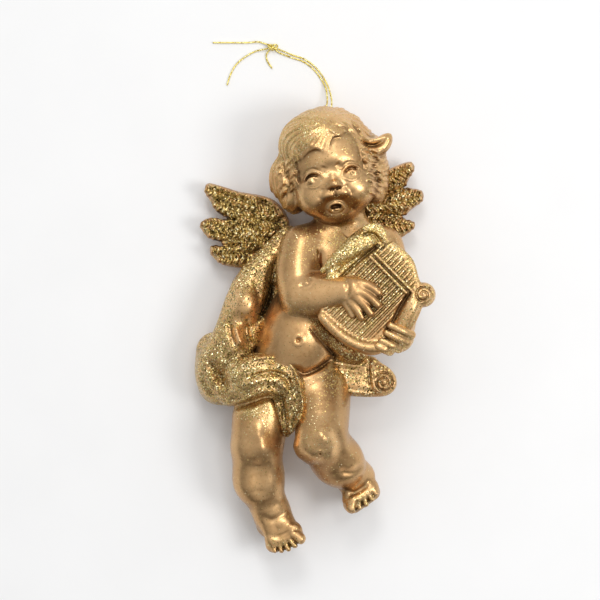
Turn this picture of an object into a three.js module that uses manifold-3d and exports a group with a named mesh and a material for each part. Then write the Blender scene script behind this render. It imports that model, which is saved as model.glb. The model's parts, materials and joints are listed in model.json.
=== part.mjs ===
// A hanging cherub ornament of cast resin: a chubby winged child with a lyre and a drape, lying on its back.
// X runs to the cherub's left, Y to the top of the head, Z out of the chest. Z = 0 is the surface it lies on.
// Every casting is a union of rounded solids. The castings are listed front to back and each one is cut back
// from those before it, so glued neighbours meet with a thin glue line and every peg gets its socket.
// All sizes are in millimetres.
import * as THREE from 'three';
import { mergeVertices } from 'three/addons/utils/BufferGeometryUtils.js';
import Module from 'manifold-3d';

const wasm = await Module();
wasm.setup();

// -------------------- driving sizes
const GLUE_LINE = 0.3; // gap between two castings that are glued together

const HIPS = [-5.9, -14.8, 10.2]; // centre of the pelvis
const TRUNK = { length: 39.6, lean: 20.6, hipWidth: 27, waistRadius: 10.6 };
const CHEST_SIZE = [25, 25, 20];
const BELLY_SIZE = [19.4, 23, 23];

const HEAD = { width: 26.4, height: 29.4, depth: 28.4 };
const FACE_TURN = 12; // degrees, with the crown leaning to the cherub's right
const CHEEK_RADIUS = 5.2;
const CHIN_SIZE = [12.4, 8.4, 13];
const NOSE_SIZE = [2.6, 2.8, 3];
const RIGHT_CURLS_SIZE = [8, 13, 15];
const LEFT_CURLS_SIZE = [7.2, 17, 14];
const TUFT_RADIUS = 3.4;
const NECK = { length: 8.6, radius: 5.4 };
const NECK_PEG = { radius: 3, length: 6 };

const SHOULDERS = { width: 22, height: 14, radius: 5.6 };
const ARM = { upperLength: 14.6, foreLength: 15.4, radius: 5.1, wristRadius: 3.0, fingerRadius: 1.0 };
const ARM_PEG = { radius: 1.6, length: 5 };

const LEG = { thighLength: 16.2, shinLength: 19.4 };
const LEG_RADIUS = { thigh: 7.7, knee: 7.2, calf: 6.8, ankle: 4.4 };
const TOE_RADIUS = 1.35;

const LYRE = { width: 29, length: 28.8, thickness: 8.2, tilt: 45, stringRadius: 0.45, strings: 7 };
const LYRE_BAR = { radius: 1.1, length: 16.5, up: 8.8 }; // up: from the middle of the lyre
const LYRE_SCROLL_RADIUS = 3.0;

const WING = { span: 23.8, thickness: 2.6, edge: 0.6, height: 6.2, sweepBack: 6 };
const WING_PEG = { radius: 1.1, length: 8 };

const DRAPE_RADIUS = 6.4; // of the cloth gathered on the hip
const TAIL = { thickness: 6, scrollRadius: 3.4 };

const EYE = { wire: 0.8, hole: 2.2, shank: 4.5 }; // wire and hole are diameters
const THREAD_DIAMETER = 0.45;
const KNOT_SIZE = [3.2, 2.2, 1.4];

// -------------------- materials
const paint = new THREE.MeshStandardMaterial({ color: 0xb98a58, roughness: 0.38, metalness: 0.85 });
const glitter = new THREE.MeshStandardMaterial({ color: 0xa8955a, roughness: 0.5, metalness: 0.8 });
const brass = new THREE.MeshStandardMaterial({ color: 0xc9a050, roughness: 0.3, metalness: 1 });
const lurex = new THREE.MeshStandardMaterial({ color: 0xd8c860, roughness: 0.4, metalness: 0.7 });

// -------------------- joining and cutting
function solid(geometry) {
  const bare = geometry.index ? geometry.toNonIndexed() : geometry.clone();
  bare.deleteAttribute('normal');
  bare.deleteAttribute('uv');
  const merged = mergeVertices(bare, 1e-4);
  return new wasm.Manifold(new wasm.Mesh({
    numProp: 3,
    vertProperties: merged.attributes.position.array,
    triVerts: new Uint32Array(merged.index.array),
  }));
}

function geometryOf(manifold) {
  const { vertProperties, triVerts, numProp } = manifold.getMesh();
  const positions = new Float32Array(triVerts.length * 3);
  triVerts.forEach((v, i) => positions.set(vertProperties.subarray(v * numProp, v * numProp + 3), i * 3));
  const geometry = new THREE.BufferGeometry();
  geometry.setAttribute('position', new THREE.BufferAttribute(positions, 3));
  geometry.computeVertexNormals();
  return geometry;
}

const joined = (solids) => solids.reduce((whole, next) => whole.add(next));

// A cut can shave a crumb off a casting, so the casting is the largest body that is left.
const largest = (manifold) => manifold.decompose().reduce((a, b) => (a.volume() > b.volume() ? a : b));

// Sanded flat where it would reach below the surface that the ornament lies on.
const sanded = (manifold, grow) =>
  manifold.subtract(solid(new THREE.BoxGeometry(200, 200, 40).translate(0, 0, -20 - grow)));

// -------------------- points
const plus = (a, b) => a.map((value, axis) => value + b[axis]);
const vector = (p) => new THREE.Vector3(...p);
const between = (a, b, share) => vector(a).lerp(vector(b), share).toArray();
const towards = (from, direction, length) =>
  vector(from).addScaledVector(vector(direction).normalize(), length).toArray();

// -------------------- rounded solids, each grown by `grow` all round
function blob(centre, size, grow = 0, turn = 0, segments = 12) {
  const geometry = new THREE.SphereGeometry(1, segments, Math.round(segments * 0.6));
  geometry.scale(size[0] / 2 + grow, size[1] / 2 + grow, size[2] / 2 + grow);
  geometry.rotateZ(THREE.MathUtils.degToRad(turn));
  geometry.translate(...centre);
  return solid(geometry);
}

const ball = (centre, radius, grow = 0, segments = 10) =>
  blob(centre, [2 * radius, 2 * radius, 2 * radius], grow, 0, segments);

// A geometry made along +Y from the origin, laid from one point towards another.
function laid(geometry, from, to) {
  const along = vector(to).sub(vector(from)).normalize();
  geometry.applyQuaternion(new THREE.Quaternion().setFromUnitVectors(new THREE.Vector3(0, 1, 0), along));
  geometry.translate(...from);
  return solid(geometry);
}

// A limb with a round end at each point.
function limb(from, fromRadius, to, toRadius, grow = 0, segments = 10) {
  const [r1, r2, length] = [fromRadius + grow, toRadius + grow, vector(from).distanceTo(vector(to))];
  const tangent = Math.asin(THREE.MathUtils.clamp((r1 - r2) / length, -0.999, 0.999));
  const arc = Math.max(2, Math.round(segments / 5));
  const profile = [];
  for (let i = 0; i <= arc; i++) {
    const angle = THREE.MathUtils.lerp(-Math.PI / 2, tangent, i / arc);
    profile.push(new THREE.Vector2(i ? r1 * Math.cos(angle) : 0, r1 * Math.sin(angle)));
  }
  for (let i = 0; i <= arc; i++) {
    const angle = THREE.MathUtils.lerp(tangent, Math.PI / 2, i / arc);
    profile.push(new THREE.Vector2(i < arc ? r2 * Math.cos(angle) : 0, length + r2 * Math.sin(angle)));
  }
  return laid(new THREE.LatheGeometry(profile, segments), from, to);
}

// Limbs end to end through [point, radius] pairs.
const chain = (stations, grow = 0, segments = 10) =>
  joined(stations.slice(1).map(([point, radius], i) =>
    limb(stations[i][0], stations[i][1], point, radius, grow, segments)));

// A round peg with flat ends, from a point along a direction.
function peg(from, direction, { radius, length }, grow = 0) {
  const geometry = new THREE.CylinderGeometry(radius + grow, radius + grow, length + grow, 10);
  geometry.translate(0, (length + grow) / 2, 0);
  return laid(geometry, from, plus(from, direction));
}

// A plate of an outline, from height 0 to its thickness, with its edges chamfered by `edge`.
function plate(outline, thickness, edge, grow = 0) {
  const geometry = new THREE.ExtrudeGeometry(outline, {
    depth: thickness - 2 * edge, curveSegments: 6, bevelEnabled: true,
    bevelThickness: edge + grow, bevelSize: edge + grow, bevelOffset: -edge, bevelSegments: 1,
  });
  return geometry.translate(0, 0, edge);
}

// A closed outline that runs smoothly through its points, each scaled to the piece's own size.
function outlineThrough(points, [scaleX, scaleY] = [1, 1], divisions = 2) {
  const through = points.map(([x, y]) => new THREE.Vector3(x * scaleX, y * scaleY, 0));
  const curve = new THREE.CatmullRomCurve3(through, true, 'centripetal');
  return new THREE.Shape(curve.getPoints(points.length * divisions).slice(0, -1)
    .map((p) => new THREE.Vector2(p.x, p.y)));
}

// -------------------- the joints of the skeleton
const lean = THREE.MathUtils.degToRad(TRUNK.lean);
const NAPE = [
  HIPS[0] + TRUNK.length * Math.sin(lean), HIPS[1] + TRUNK.length * Math.cos(lean), SHOULDERS.height,
];
const CHEST = plus(NAPE, [-3.5, -3.8, -3.2]);
const BELLY = plus(HIPS, [2.1, 14.1, 3.2]);
const HEAD_CENTRE = plus(NAPE, [-3.4, NECK.length + HEAD.height / 2, -0.4]);

const RIGHT_SHOULDER = plus(NAPE, [-SHOULDERS.width / 2, 0.2, 1.5]);
const RIGHT_ELBOW = towards(RIGHT_SHOULDER, [-0.2, -13.5, 6], ARM.upperLength);
const RIGHT_WRIST = towards(RIGHT_ELBOW, [14, 1.9, 7], ARM.foreLength);
const LEFT_SHOULDER = plus(NAPE, [SHOULDERS.width / 2, 0.2, -1.5]);
const LEFT_ELBOW = towards(LEFT_SHOULDER, [4.6, -13.6, 0.5], ARM.upperLength);
const LEFT_WRIST = towards(LEFT_ELBOW, [-0.2, -10, 9.4], ARM.foreLength * 0.92);

const RIGHT_HIP = plus(HIPS, [-TRUNK.hipWidth / 4, -1.4, 0.2]);
const RIGHT_KNEE = towards(RIGHT_HIP, [-2.2, -15.2, 3.4], LEG.thighLength);
const RIGHT_ANKLE = towards(RIGHT_KNEE, [4.4, -17.9, -6], LEG.shinLength);
const LEFT_HIP = plus(HIPS, [TRUNK.hipWidth / 3.2, -1.6, 2]);
const LEFT_KNEE = towards(LEFT_HIP, [-0.6, -13, 9.2], LEG.thighLength);
const LEFT_ANKLE = towards(LEFT_KNEE, [10.2, -10.4, -12.8], LEG.shinLength);

// -------------------- the arms
const armPeg = (shoulder, direction, grow) =>
  peg(shoulder, direction, { radius: ARM_PEG.radius, length: SHOULDERS.radius + ARM_PEG.length }, grow);

// Four fingers, each from its knuckle to its tip. Both are given from the wrist.
const fingers = (wrist, knuckles, tips, grow) => knuckles.map((knuckle, i) =>
  limb(plus(wrist, knuckle), ARM.fingerRadius * 1.1, plus(wrist, tips[i]), ARM.fingerRadius * 0.85, grow, 6));

// The right arm is bent across the chest and its fingers rest on the strings.
const RIGHT_KNUCKLES = [[3.4, 1.8, 2], [3.8, -0.4, 2.3], [2.6, -2.6, 2.1], [1, -4.2, 1.7]];
const RIGHT_FINGERTIPS = [[7, 0.4, 1.4], [6.8, -4.2, 1.4], [4.4, -6.2, 1.3], [2.2, -7.2, 1.2]];

function rightArm(grow) {
  const swell = between(RIGHT_ELBOW, RIGHT_WRIST, 0.3);
  return joined([
    limb(RIGHT_SHOULDER, SHOULDERS.radius, RIGHT_ELBOW, ARM.radius, grow),
    chain([[RIGHT_ELBOW, ARM.radius], [swell, ARM.radius * 0.98], [RIGHT_WRIST, ARM.wristRadius]], grow),
    blob(plus(RIGHT_WRIST, [2, -0.9, 1.2]), [6.4, 6.2, 3.8], grow, -20, 8),
    ...fingers(RIGHT_WRIST, RIGHT_KNUCKLES, RIGHT_FINGERTIPS, grow),
    armPeg(RIGHT_SHOULDER, [0.8, -0.2, -0.6], grow),
  ]);
}

// The left arm goes down behind the lyre, and its hand holds the lyre's foot from the side.
const LEFT_KNUCKLES = [[2, 0.6, 5], [1.8, -1.4, 5.2], [0.6, -3.2, 5.2], [-1.4, -4.4, 5]];
const LEFT_FINGERTIPS = [[-3, 1.2, 7.4], [-3.8, -0.5, 7.5], [-4.6, -2.1, 7.4], [-5.4, -3.4, 7.2]];

function leftArm(grow) {
  const palm = plus(LEFT_WRIST, [0.4, -1.8, 3.4]);
  return joined([
    limb(LEFT_SHOULDER, SHOULDERS.radius, LEFT_ELBOW, ARM.radius * 0.86, grow),
    limb(LEFT_ELBOW, ARM.radius * 0.86, LEFT_WRIST, ARM.wristRadius, grow),
    limb(LEFT_WRIST, ARM.wristRadius, palm, ARM.wristRadius * 0.9, grow),
    ...fingers(LEFT_WRIST, LEFT_KNUCKLES, LEFT_FINGERTIPS, grow),
    armPeg(LEFT_SHOULDER, [-0.9, -0.2, -0.3], grow),
  ]);
}

// -------------------- the lyre: a deep board with a scroll, a bar and strings
const LYRE_CENTRE = plus(NAPE, [7, -12.6, 6.3]); // on its back face
// The board's outline in shares of its width and length, with the strings running along Y.
const LYRE_OUTLINE = [
  [-0.46, -0.14], [-0.47, 0.09], [-0.45, 0.26], [-0.43, 0.41], [-0.29, 0.46], [-0.1, 0.5], [0.07, 0.5],
  [0.23, 0.42], [0.33, 0.26], [0.47, 0.11], [0.53, -0.06], [0.5, -0.23], [0.39, -0.37], [0.23, -0.45],
  [0.01, -0.49], [-0.18, -0.48], [-0.34, -0.35],
];
const STRING_SPAN = { above: 3, below: 17 }; // how far the strings run above and below the bar

function lyre(grow) {
  const { width, length, thickness, stringRadius, strings, tilt } = LYRE;
  const scroll = [0.34 * width, 0.33 * length];
  const wires = Array.from({ length: strings }, (_, i) => {
    const middle = i - (strings - 1) / 2;
    const x = (middle * LYRE_BAR.length) / (strings + 1);
    const top = [x, LYRE_BAR.up + STRING_SPAN.above, thickness];
    const bottom = [x, LYRE_BAR.up - STRING_SPAN.below + Math.abs(middle), thickness];
    return limb(top, stringRadius, bottom, stringRadius, grow, 6);
  });
  const upright = joined([
    solid(plate(outlineThrough(LYRE_OUTLINE, [width, length]), thickness, 0.5, grow)),
    limb([...scroll, LYRE_SCROLL_RADIUS], LYRE_SCROLL_RADIUS,
      [...scroll, thickness + LYRE_BAR.radius - LYRE_SCROLL_RADIUS], LYRE_SCROLL_RADIUS, grow, 12),
    limb([-LYRE_BAR.length / 2, LYRE_BAR.up, thickness], LYRE_BAR.radius,
      [LYRE_BAR.length / 2, LYRE_BAR.up, thickness], LYRE_BAR.radius, grow, 6),
    ...wires,
  ]);
  return upright.rotate([0, 0, -tilt]).translate(LYRE_CENTRE);
}

// -------------------- the head, with its hair and the peg of its neck
function head(grow) {
  const [x, y, z] = HEAD_CENTRE;
  const side = HEAD.width / 2;
  const brow = HEAD.height / 2;
  const neckTop = [x + 0.6, y - 1.1 * brow, z - 1];
  const neckFoot = [x + 2, y - brow - 0.55 * NECK.length, z - 1.4];
  const face = [0.76 * HEAD.width, 0.7 * HEAD.height, 0.72 * HEAD.depth];
  const tuft = [[x + 0.85 * side, y + 0.42 * brow, z + 1], [x + 1.1 * side, y + 0.33 * brow, z + 2.5]];
  const neckPeg = { radius: NECK_PEG.radius, length: NECK.radius + NECK_PEG.length };
  const whole = joined([
    blob(HEAD_CENTRE, [HEAD.width, HEAD.height, HEAD.depth], grow, 0, 18),
    blob([x + 0.9, y - 0.41 * brow, z + 3], face, grow, FACE_TURN),
    blob([x + 2, y - 0.8 * brow, z + 4.6], CHIN_SIZE, grow, FACE_TURN, 10),
    ball([x - 0.43 * side, y - 0.66 * brow, z + 5], CHEEK_RADIUS, grow),
    ball([x + 0.57 * side, y - 0.6 * brow, z + 5], CHEEK_RADIUS, grow),
    blob([x + 0.9, y - 0.5 * brow, z + 0.48 * HEAD.depth], NOSE_SIZE, grow, 0, 8),
    blob([x - 0.92 * side, y - 0.43 * brow, z - 1], RIGHT_CURLS_SIZE, grow, 0, 10),
    blob([x + 0.97 * side, y - 0.34 * brow, z - 1.6], LEFT_CURLS_SIZE, grow, 0, 10),
    limb(tuft[0], TUFT_RADIUS, tuft[1], TUFT_RADIUS * 0.76, grow, 8),
    limb(neckTop, NECK.radius, neckFoot, NECK.radius, grow),
    peg(neckFoot, [0.12, -1, -0.08], neckPeg, grow),
  ]);
  return sanded(whole, grow);
}

// -------------------- the drape: down from the shoulder and over the lap
// Stations are points on the cloth's middle, each with its share of the gathered radius.
const BEHIND_SHOULDER = plus(RIGHT_SHOULDER, [-3.2, 3, -6.9]);
const BESIDE_ELBOW = plus(RIGHT_SHOULDER, [-13.6, -13, -4.6]);
const ON_HIP = plus(HIPS, [-14.2, 12, 1.5]);
const GATHERED = plus(HIPS, [-18, 6, -1]);
const LAP_FOLD = [
  [plus(HIPS, [-18, 4, 0.4]), 1.02], [plus(HIPS, [-9.5, 3.2, 7.4]), 0.98],
  [plus(HIPS, [-3.3, 3.4, 10.4]), 0.66], [plus(HIPS, [1, 0.2, 10.8]), 0.44],
  [plus(HIPS, [1.7, -4.4, 8.4]), 0.34], [plus(HIPS, [-0.3, -11, 4.4]), 0.22],
];
const HIP_ROLL = [[plus(HIPS, [-20.2, 8.6, -4.6]), 0.82], [plus(HIPS, [-20.3, 0, -5.4]), 0.8]];

function drape(grow) {
  const sleeve = [
    [BEHIND_SHOULDER, 0.5], [between(BEHIND_SHOULDER, BESIDE_ELBOW, 0.5), 0.82], [BESIDE_ELBOW, 0.94],
    [ON_HIP, 1.03], [GATHERED, 1.06],
  ];
  const inMillimetres = (stations) => stations.map(([point, share]) => [point, share * DRAPE_RADIUS]);
  return sanded(joined([sleeve, LAP_FOLD, HIP_ROLL].map((fold) => chain(inMillimetres(fold), grow))), grow);
}

// -------------------- the other end of the drape, curled beside the left hip
const TAIL_OUTLINE = [
  [9.5, 8.4], [15.9, 7.6], [22.5, 7.2], [25.5, 5.2], [28.1, 2.4], [28.1, -0.8], [25.3, -2.6], [18.9, -2.7],
  [13.9, -1.8], [9.3, 0.6],
];
const TAIL_SCROLL = [25.1, 0.9];

function drapeTail(grow) {
  const { thickness, scrollRadius } = TAIL;
  return joined([
    solid(plate(outlineThrough(TAIL_OUTLINE), thickness, 0.8, grow)),
    limb([...TAIL_SCROLL, scrollRadius], scrollRadius,
      [...TAIL_SCROLL, thickness + 1 - scrollRadius / 2], scrollRadius * 0.9, grow),
  ]).translate(plus(HIPS, [0, 0, -1.2]));
}

// -------------------- the wings: three rounded tiers of feathers each
// Outlines from the wing's root, in shares of its span.
const RIGHT_WING_OUTLINE = [
  [-0.91, 0.56], [-0.67, 0.55], [-0.32, 0.45], [-0.05, 0.33], [0.06, 0.18], [0.06, 0.03], [-0.07, -0.17],
  [-0.26, -0.33], [-0.47, -0.41], [-0.69, -0.36], [-0.86, -0.24], [-0.87, -0.16], [-0.69, -0.09],
  [-0.91, -0.02], [-0.97, 0.09], [-0.91, 0.2], [-0.69, 0.23], [-0.81, 0.34], [-0.92, 0.47],
];
const LEFT_WING_OUTLINE = [
  [-0.11, 0.47], [0.09, 0.68], [0.27, 0.79], [0.39, 0.8], [0.45, 0.71], [0.41, 0.59], [0.34, 0.51],
  [0.48, 0.5], [0.56, 0.41], [0.54, 0.31], [0.33, 0.15], [0.48, 0.1], [0.47, 0], [0.32, -0.09],
  [0.2, -0.13], [-0.03, -0.04], [-0.18, 0.17],
];

function wing(outline, root, side, grow) {
  const { span, thickness, edge, sweepBack } = WING;
  const geometry = plate(outlineThrough(outline, [span, span], 3), thickness, edge, grow);
  geometry.translate(0, 0, -thickness / 2);
  geometry.rotateY(THREE.MathUtils.degToRad(side * sweepBack));
  geometry.translate(...root);
  return joined([solid(geometry), peg(plus(root, [side * 2, 0, 0]), [-side, -0.35, 0.06], WING_PEG, grow)]);
}

const wingRoot = (x, y) => [NAPE[0] + x, NAPE[1] + y, WING.height];
const rightWing = (grow) => wing(RIGHT_WING_OUTLINE, wingRoot(-15.4, 4.2), -1, grow);
const leftWing = (grow) => wing(LEFT_WING_OUTLINE, wingRoot(9.6, 4.6), 1, grow);

// -------------------- the wire eye behind the crown, for the thread
const EYE_DIRECTION = new THREE.Vector3(0, 0.78, -0.62).normalize(); // out of the back of the crown
const EYE_FOOT = (() => { // where the shank leaves the scalp
  const half = new THREE.Vector3(HEAD.width, HEAD.height, HEAD.depth).multiplyScalar(0.5);
  return vector(HEAD_CENTRE).addScaledVector(EYE_DIRECTION, 1 / EYE_DIRECTION.clone().divide(half).length());
})();
const RING_RADIUS = (EYE.hole + EYE.wire) / 2;
const EYE_CENTRE = EYE_FOOT.clone().addScaledVector(EYE_DIRECTION, RING_RADIUS + EYE.wire / 4);

function hangingEye(grow) {
  const ring = new THREE.TorusGeometry(RING_RADIUS, EYE.wire / 2 + grow, 8, 18);
  ring.rotateY(Math.PI / 2);
  ring.translate(...EYE_CENTRE.toArray());
  const top = EYE_CENTRE.clone().addScaledVector(EYE_DIRECTION, EYE.wire / 4 - RING_RADIUS).toArray();
  const inwards = EYE_DIRECTION.clone().negate().toArray();
  return joined([solid(ring), peg(top, inwards, { radius: EYE.wire * 0.6, length: EYE.shank }, grow)]);
}

// -------------------- the body: trunk, legs and feet
// A foot: heel, sole and five toes from the big one to the little one, given from the ankle.
const RIGHT_FOOT = { heel: [-0.4, -2.8, -4], bigToe: [7.2, -6.8, 5.2], littleToe: [0.8, -9.4, 4.2] };
const LEFT_FOOT = { heel: [0.6, -3, -4.4], bigToe: [-1.4, -8, 5], littleToe: [4.8, -3.8, 4] };

function foot(ankle, { heel, bigToe, littleToe }, grow) {
  const [heelAt, bigAt, littleAt] = [heel, bigToe, littleToe].map((offset) => plus(ankle, offset));
  const sole = between(bigAt, littleAt, 0.5);
  const toes = Array.from({ length: 5 }, (_, i) =>
    ball(between(bigAt, littleAt, i / 4), TOE_RADIUS * (1.12 - 0.075 * i), grow, 6));
  return [
    limb(ankle, LEG_RADIUS.ankle, heelAt, LEG_RADIUS.ankle * 0.92, grow),
    limb(ankle, LEG_RADIUS.ankle * 0.96, between(ankle, sole, 0.72), LEG_RADIUS.ankle * 0.86, grow),
    limb(between(heelAt, bigAt, 0.78), 2.9, between(heelAt, littleAt, 0.78), 2.5, grow, 8),
    limb(between(ankle, bigAt, 0.88), 2, between(ankle, littleAt, 0.88), 1.8, grow, 8),
    ...toes,
  ];
}

function leg(hip, knee, ankle, grow) {
  const calf = between(knee, ankle, 0.45);
  return chain([
    [hip, LEG_RADIUS.thigh], [knee, LEG_RADIUS.knee], [calf, LEG_RADIUS.calf], [ankle, LEG_RADIUS.ankle],
  ], grow, 12);
}

function body(grow) {
  const neckFoot = plus(NAPE, [-0.9, 5, -1.2]);
  const slope = SHOULDERS.radius * 0.8;
  const whole = joined([
    blob(CHEST, CHEST_SIZE, grow, -12, 14),
    blob(BELLY, BELLY_SIZE, grow, -14, 16),
    blob(HIPS, [TRUNK.hipWidth, 18, 2 * HIPS[2]], grow, 0, 14),
    chain([[RIGHT_SHOULDER, slope], [neckFoot, NECK.radius], [LEFT_SHOULDER, slope]], grow),
    limb(plus(CHEST, [0, -8, -1.6]), TRUNK.waistRadius, HIPS, TRUNK.waistRadius, grow, 14),
    leg(RIGHT_HIP, RIGHT_KNEE, RIGHT_ANKLE, grow),
    leg(LEFT_HIP, LEFT_KNEE, LEFT_ANKLE, grow),
    ...foot(RIGHT_ANKLE, RIGHT_FOOT, grow),
    ...foot(LEFT_ANKLE, LEFT_FOOT, grow),
  ]);
  return sanded(whole, grow);
}

// -------------------- the thread: a loop through the eye, tied off in a knot
const THREAD_SIDES = 8;
const THREAD_STEP = 2.6 * THREAD_DIAMETER;
const RUNNING_CLEARANCE = 0.3; // between the thread and the eye, and between the two sides of the loop
const LYING = THREAD_DIAMETER / 2 + 0.08; // height of the thread's middle where it lies on the surface
// Points of the thread are given from the eye along X and Y, and from the surface along Z.
const fromEye = (points) => points.map(([x, y, z]) => [EYE_CENTRE.x + x, EYE_CENTRE.y + y, z]);
const [KNOT] = fromEye([[-15.2, 18.95, 0.8]]);
// Down from behind the crown onto the surface, then round to the knot.
const LOOP_ROUTE = fromEye([
  [0.1, 2.35, 2.6], [0.2, 4.75, 2.0], [-0.4, 7.75, 1.1], [-1.8, 10.55, LYING], [-4.0, 13.35, LYING],
  [-6.8, 15.35, LYING], [-10.0, 16.45, LYING], [-13.5, 17.9, LYING + 0.15],
]);
const STRAIGHT_TAIL = fromEye([
  [-17.1, 19.75, 0.7], [-19.2, 20.35, 0.5], [-22.2, 20.15, LYING], [-27.0, 20.15, LYING],
  [-31.6, 20.15, LYING],
]);
const CURVED_TAIL = fromEye([
  [-17.3, 18.35, 0.7], [-20.0, 17.75, LYING], [-22.8, 16.25, LYING], [-25.2, 14.15, LYING],
  [-26.7, 11.55, LYING], [-27.7, 8.55, LYING],
]);
const SHORT_TAIL = fromEye([
  [-16.5, 17.65, 0.6], [-17.0, 16.45, LYING], [-16.6, 14.95, LYING], [-15.4, 13.15, LYING],
]);

function threadAlong(points) {
  const curve = new THREE.CatmullRomCurve3(points.map(vector), false, 'centripetal');
  const section = new THREE.Shape(Array.from({ length: THREAD_SIDES }, (_, i) => {
    const angle = (2 * Math.PI * i) / THREAD_SIDES;
    return new THREE.Vector2(Math.cos(angle), Math.sin(angle)).multiplyScalar(THREAD_DIAMETER / 2);
  }));
  return new THREE.ExtrudeGeometry(section, {
    steps: Math.ceil(curve.getLength() / THREAD_STEP), bevelEnabled: false, extrudePath: curve,
  });
}

// One side of the loop: through its half of the eye, then beside the other side to the knot.
function loopSide(side) {
  const eyeGap = (EYE.wire + THREAD_DIAMETER) / 2 + RUNNING_CLEARANCE;
  const sideGap = (THREAD_DIAMETER + RUNNING_CLEARANCE) / 2;
  const eye = EYE_CENTRE.toArray();
  const turn = [
    plus(eye, [side * RUNNING_CLEARANCE * 0.8, 0, 0]), plus(eye, [side * eyeGap * 0.75, 0.25, 0]),
    plus(eye, [side * eyeGap, 0.9, -0.1]),
  ];
  const route = LOOP_ROUTE.map(([x, y, z], i) => {
    const apart = THREE.MathUtils.lerp(eyeGap, sideGap, Math.min(1, (i + 1) / 3));
    const [nextX, nextY] = LOOP_ROUTE[Math.min(i + 1, LOOP_ROUTE.length - 1)];
    const [lastX, lastY] = LOOP_ROUTE[Math.max(i - 1, 0)];
    const along = new THREE.Vector2(nextX - lastX, nextY - lastY).normalize();
    return [x + side * apart * along.y, y - side * apart * along.x, z];
  });
  return threadAlong([...turn, ...route]);
}

function knot() {
  const halfSize = KNOT_SIZE.map((size) => size / 2);
  return new THREE.SphereGeometry(1, 10, 7).scale(...halfSize).translate(...KNOT);
}

// -------------------- the object
const castings = [
  ['right_arm', rightArm, paint],
  ['left_arm', leftArm, paint],
  ['lyre', lyre, glitter],
  ['hanging_eye', hangingEye, brass],
  ['head', head, paint],
  ['drape', drape, glitter],
  ['drape_tail', drapeTail, glitter],
  ['right_wing', rightWing, glitter],
  ['left_wing', leftWing, glitter],
  ['body', body, paint],
];

const ornament = new THREE.Group();

function add(name, geometry, material) {
  const mesh = new THREE.Mesh(geometry, material);
  mesh.name = name;
  ornament.add(mesh);
}

castings.forEach(([name, shape, material], i) => {
  const cut = castings.slice(0, i).reduce((left, [, front]) => left.subtract(front(GLUE_LINE)), shape(0));
  add(name, geometryOf(largest(cut)), material);
});

add('thread_loop_right', loopSide(-1), lurex);
add('thread_loop_left', loopSide(1), lurex);
add('thread_knot', knot(), lurex);
add('thread_tail_straight', threadAlong(STRAIGHT_TAIL), lurex);
add('thread_tail_curved', threadAlong(CURVED_TAIL), lurex);
add('thread_tail_short', threadAlong(SHORT_TAIL), lurex);

export default ornament;
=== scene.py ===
import json
import math

import bpy
import numpy as np
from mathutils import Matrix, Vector


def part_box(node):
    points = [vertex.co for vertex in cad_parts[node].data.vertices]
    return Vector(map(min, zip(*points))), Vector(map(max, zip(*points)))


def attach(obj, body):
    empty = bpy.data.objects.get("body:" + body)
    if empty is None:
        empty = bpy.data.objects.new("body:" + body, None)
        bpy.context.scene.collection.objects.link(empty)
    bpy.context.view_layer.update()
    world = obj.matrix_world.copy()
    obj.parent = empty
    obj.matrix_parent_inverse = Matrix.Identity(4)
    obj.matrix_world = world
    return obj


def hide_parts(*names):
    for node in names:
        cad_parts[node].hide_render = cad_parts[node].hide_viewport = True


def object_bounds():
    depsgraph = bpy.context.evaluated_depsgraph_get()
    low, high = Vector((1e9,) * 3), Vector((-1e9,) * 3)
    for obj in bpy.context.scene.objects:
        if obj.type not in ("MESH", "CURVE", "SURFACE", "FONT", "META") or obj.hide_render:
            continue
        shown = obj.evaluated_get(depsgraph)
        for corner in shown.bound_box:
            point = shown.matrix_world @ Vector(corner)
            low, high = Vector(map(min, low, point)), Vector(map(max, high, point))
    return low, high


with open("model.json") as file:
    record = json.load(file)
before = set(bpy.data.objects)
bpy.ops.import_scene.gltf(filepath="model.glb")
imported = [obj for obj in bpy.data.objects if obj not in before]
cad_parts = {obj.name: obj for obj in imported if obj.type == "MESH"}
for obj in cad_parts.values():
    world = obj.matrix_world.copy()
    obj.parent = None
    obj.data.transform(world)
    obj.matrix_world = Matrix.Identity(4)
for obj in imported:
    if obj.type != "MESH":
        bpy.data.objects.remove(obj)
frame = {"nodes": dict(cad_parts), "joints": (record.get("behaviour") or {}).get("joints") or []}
cad_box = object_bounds()

MM = 0.001
BEYOND = 99.0  # millimetres, past everything

# -------------------- camera, floor and light
LYING_HEIGHT = 14 * MM  # the middle of the ornament above the floor
CAMERA_DISTANCE = 0.75
VIEW_WIDTH = 0.1608  # what the camera sees across, at the lying height
SENSOR = 36.0  # millimetres
AIM = (cad_box[0] + cad_box[1]) / 2 + Vector((-3.3, -1.1, 0)) * MM


def make_camera():
    data = bpy.data.cameras.new("camera")
    data.sensor_width = SENSOR
    data.lens = SENSOR * CAMERA_DISTANCE / VIEW_WIDTH
    data.clip_start, data.clip_end = 0.01, 20
    camera = bpy.data.objects.new("camera", data)
    camera.location = (AIM.x, AIM.y, LYING_HEIGHT + CAMERA_DISTANCE)
    bpy.context.scene.collection.objects.link(camera)
    bpy.context.scene.camera = camera


def make_light(name, place, size, watts):
    """A square softbox at a place given from the ornament's middle, turned to face it."""
    data = bpy.data.lights.new(name, "AREA")
    data.shape, data.size, data.energy = "SQUARE", size, watts
    light = bpy.data.objects.new(name, data)
    light.location = Vector((AIM.x, AIM.y, 0)) + Vector(place)
    light.rotation_euler = Vector(place).to_track_quat("Z", "Y").to_euler()
    bpy.context.scene.collection.objects.link(light)


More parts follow.
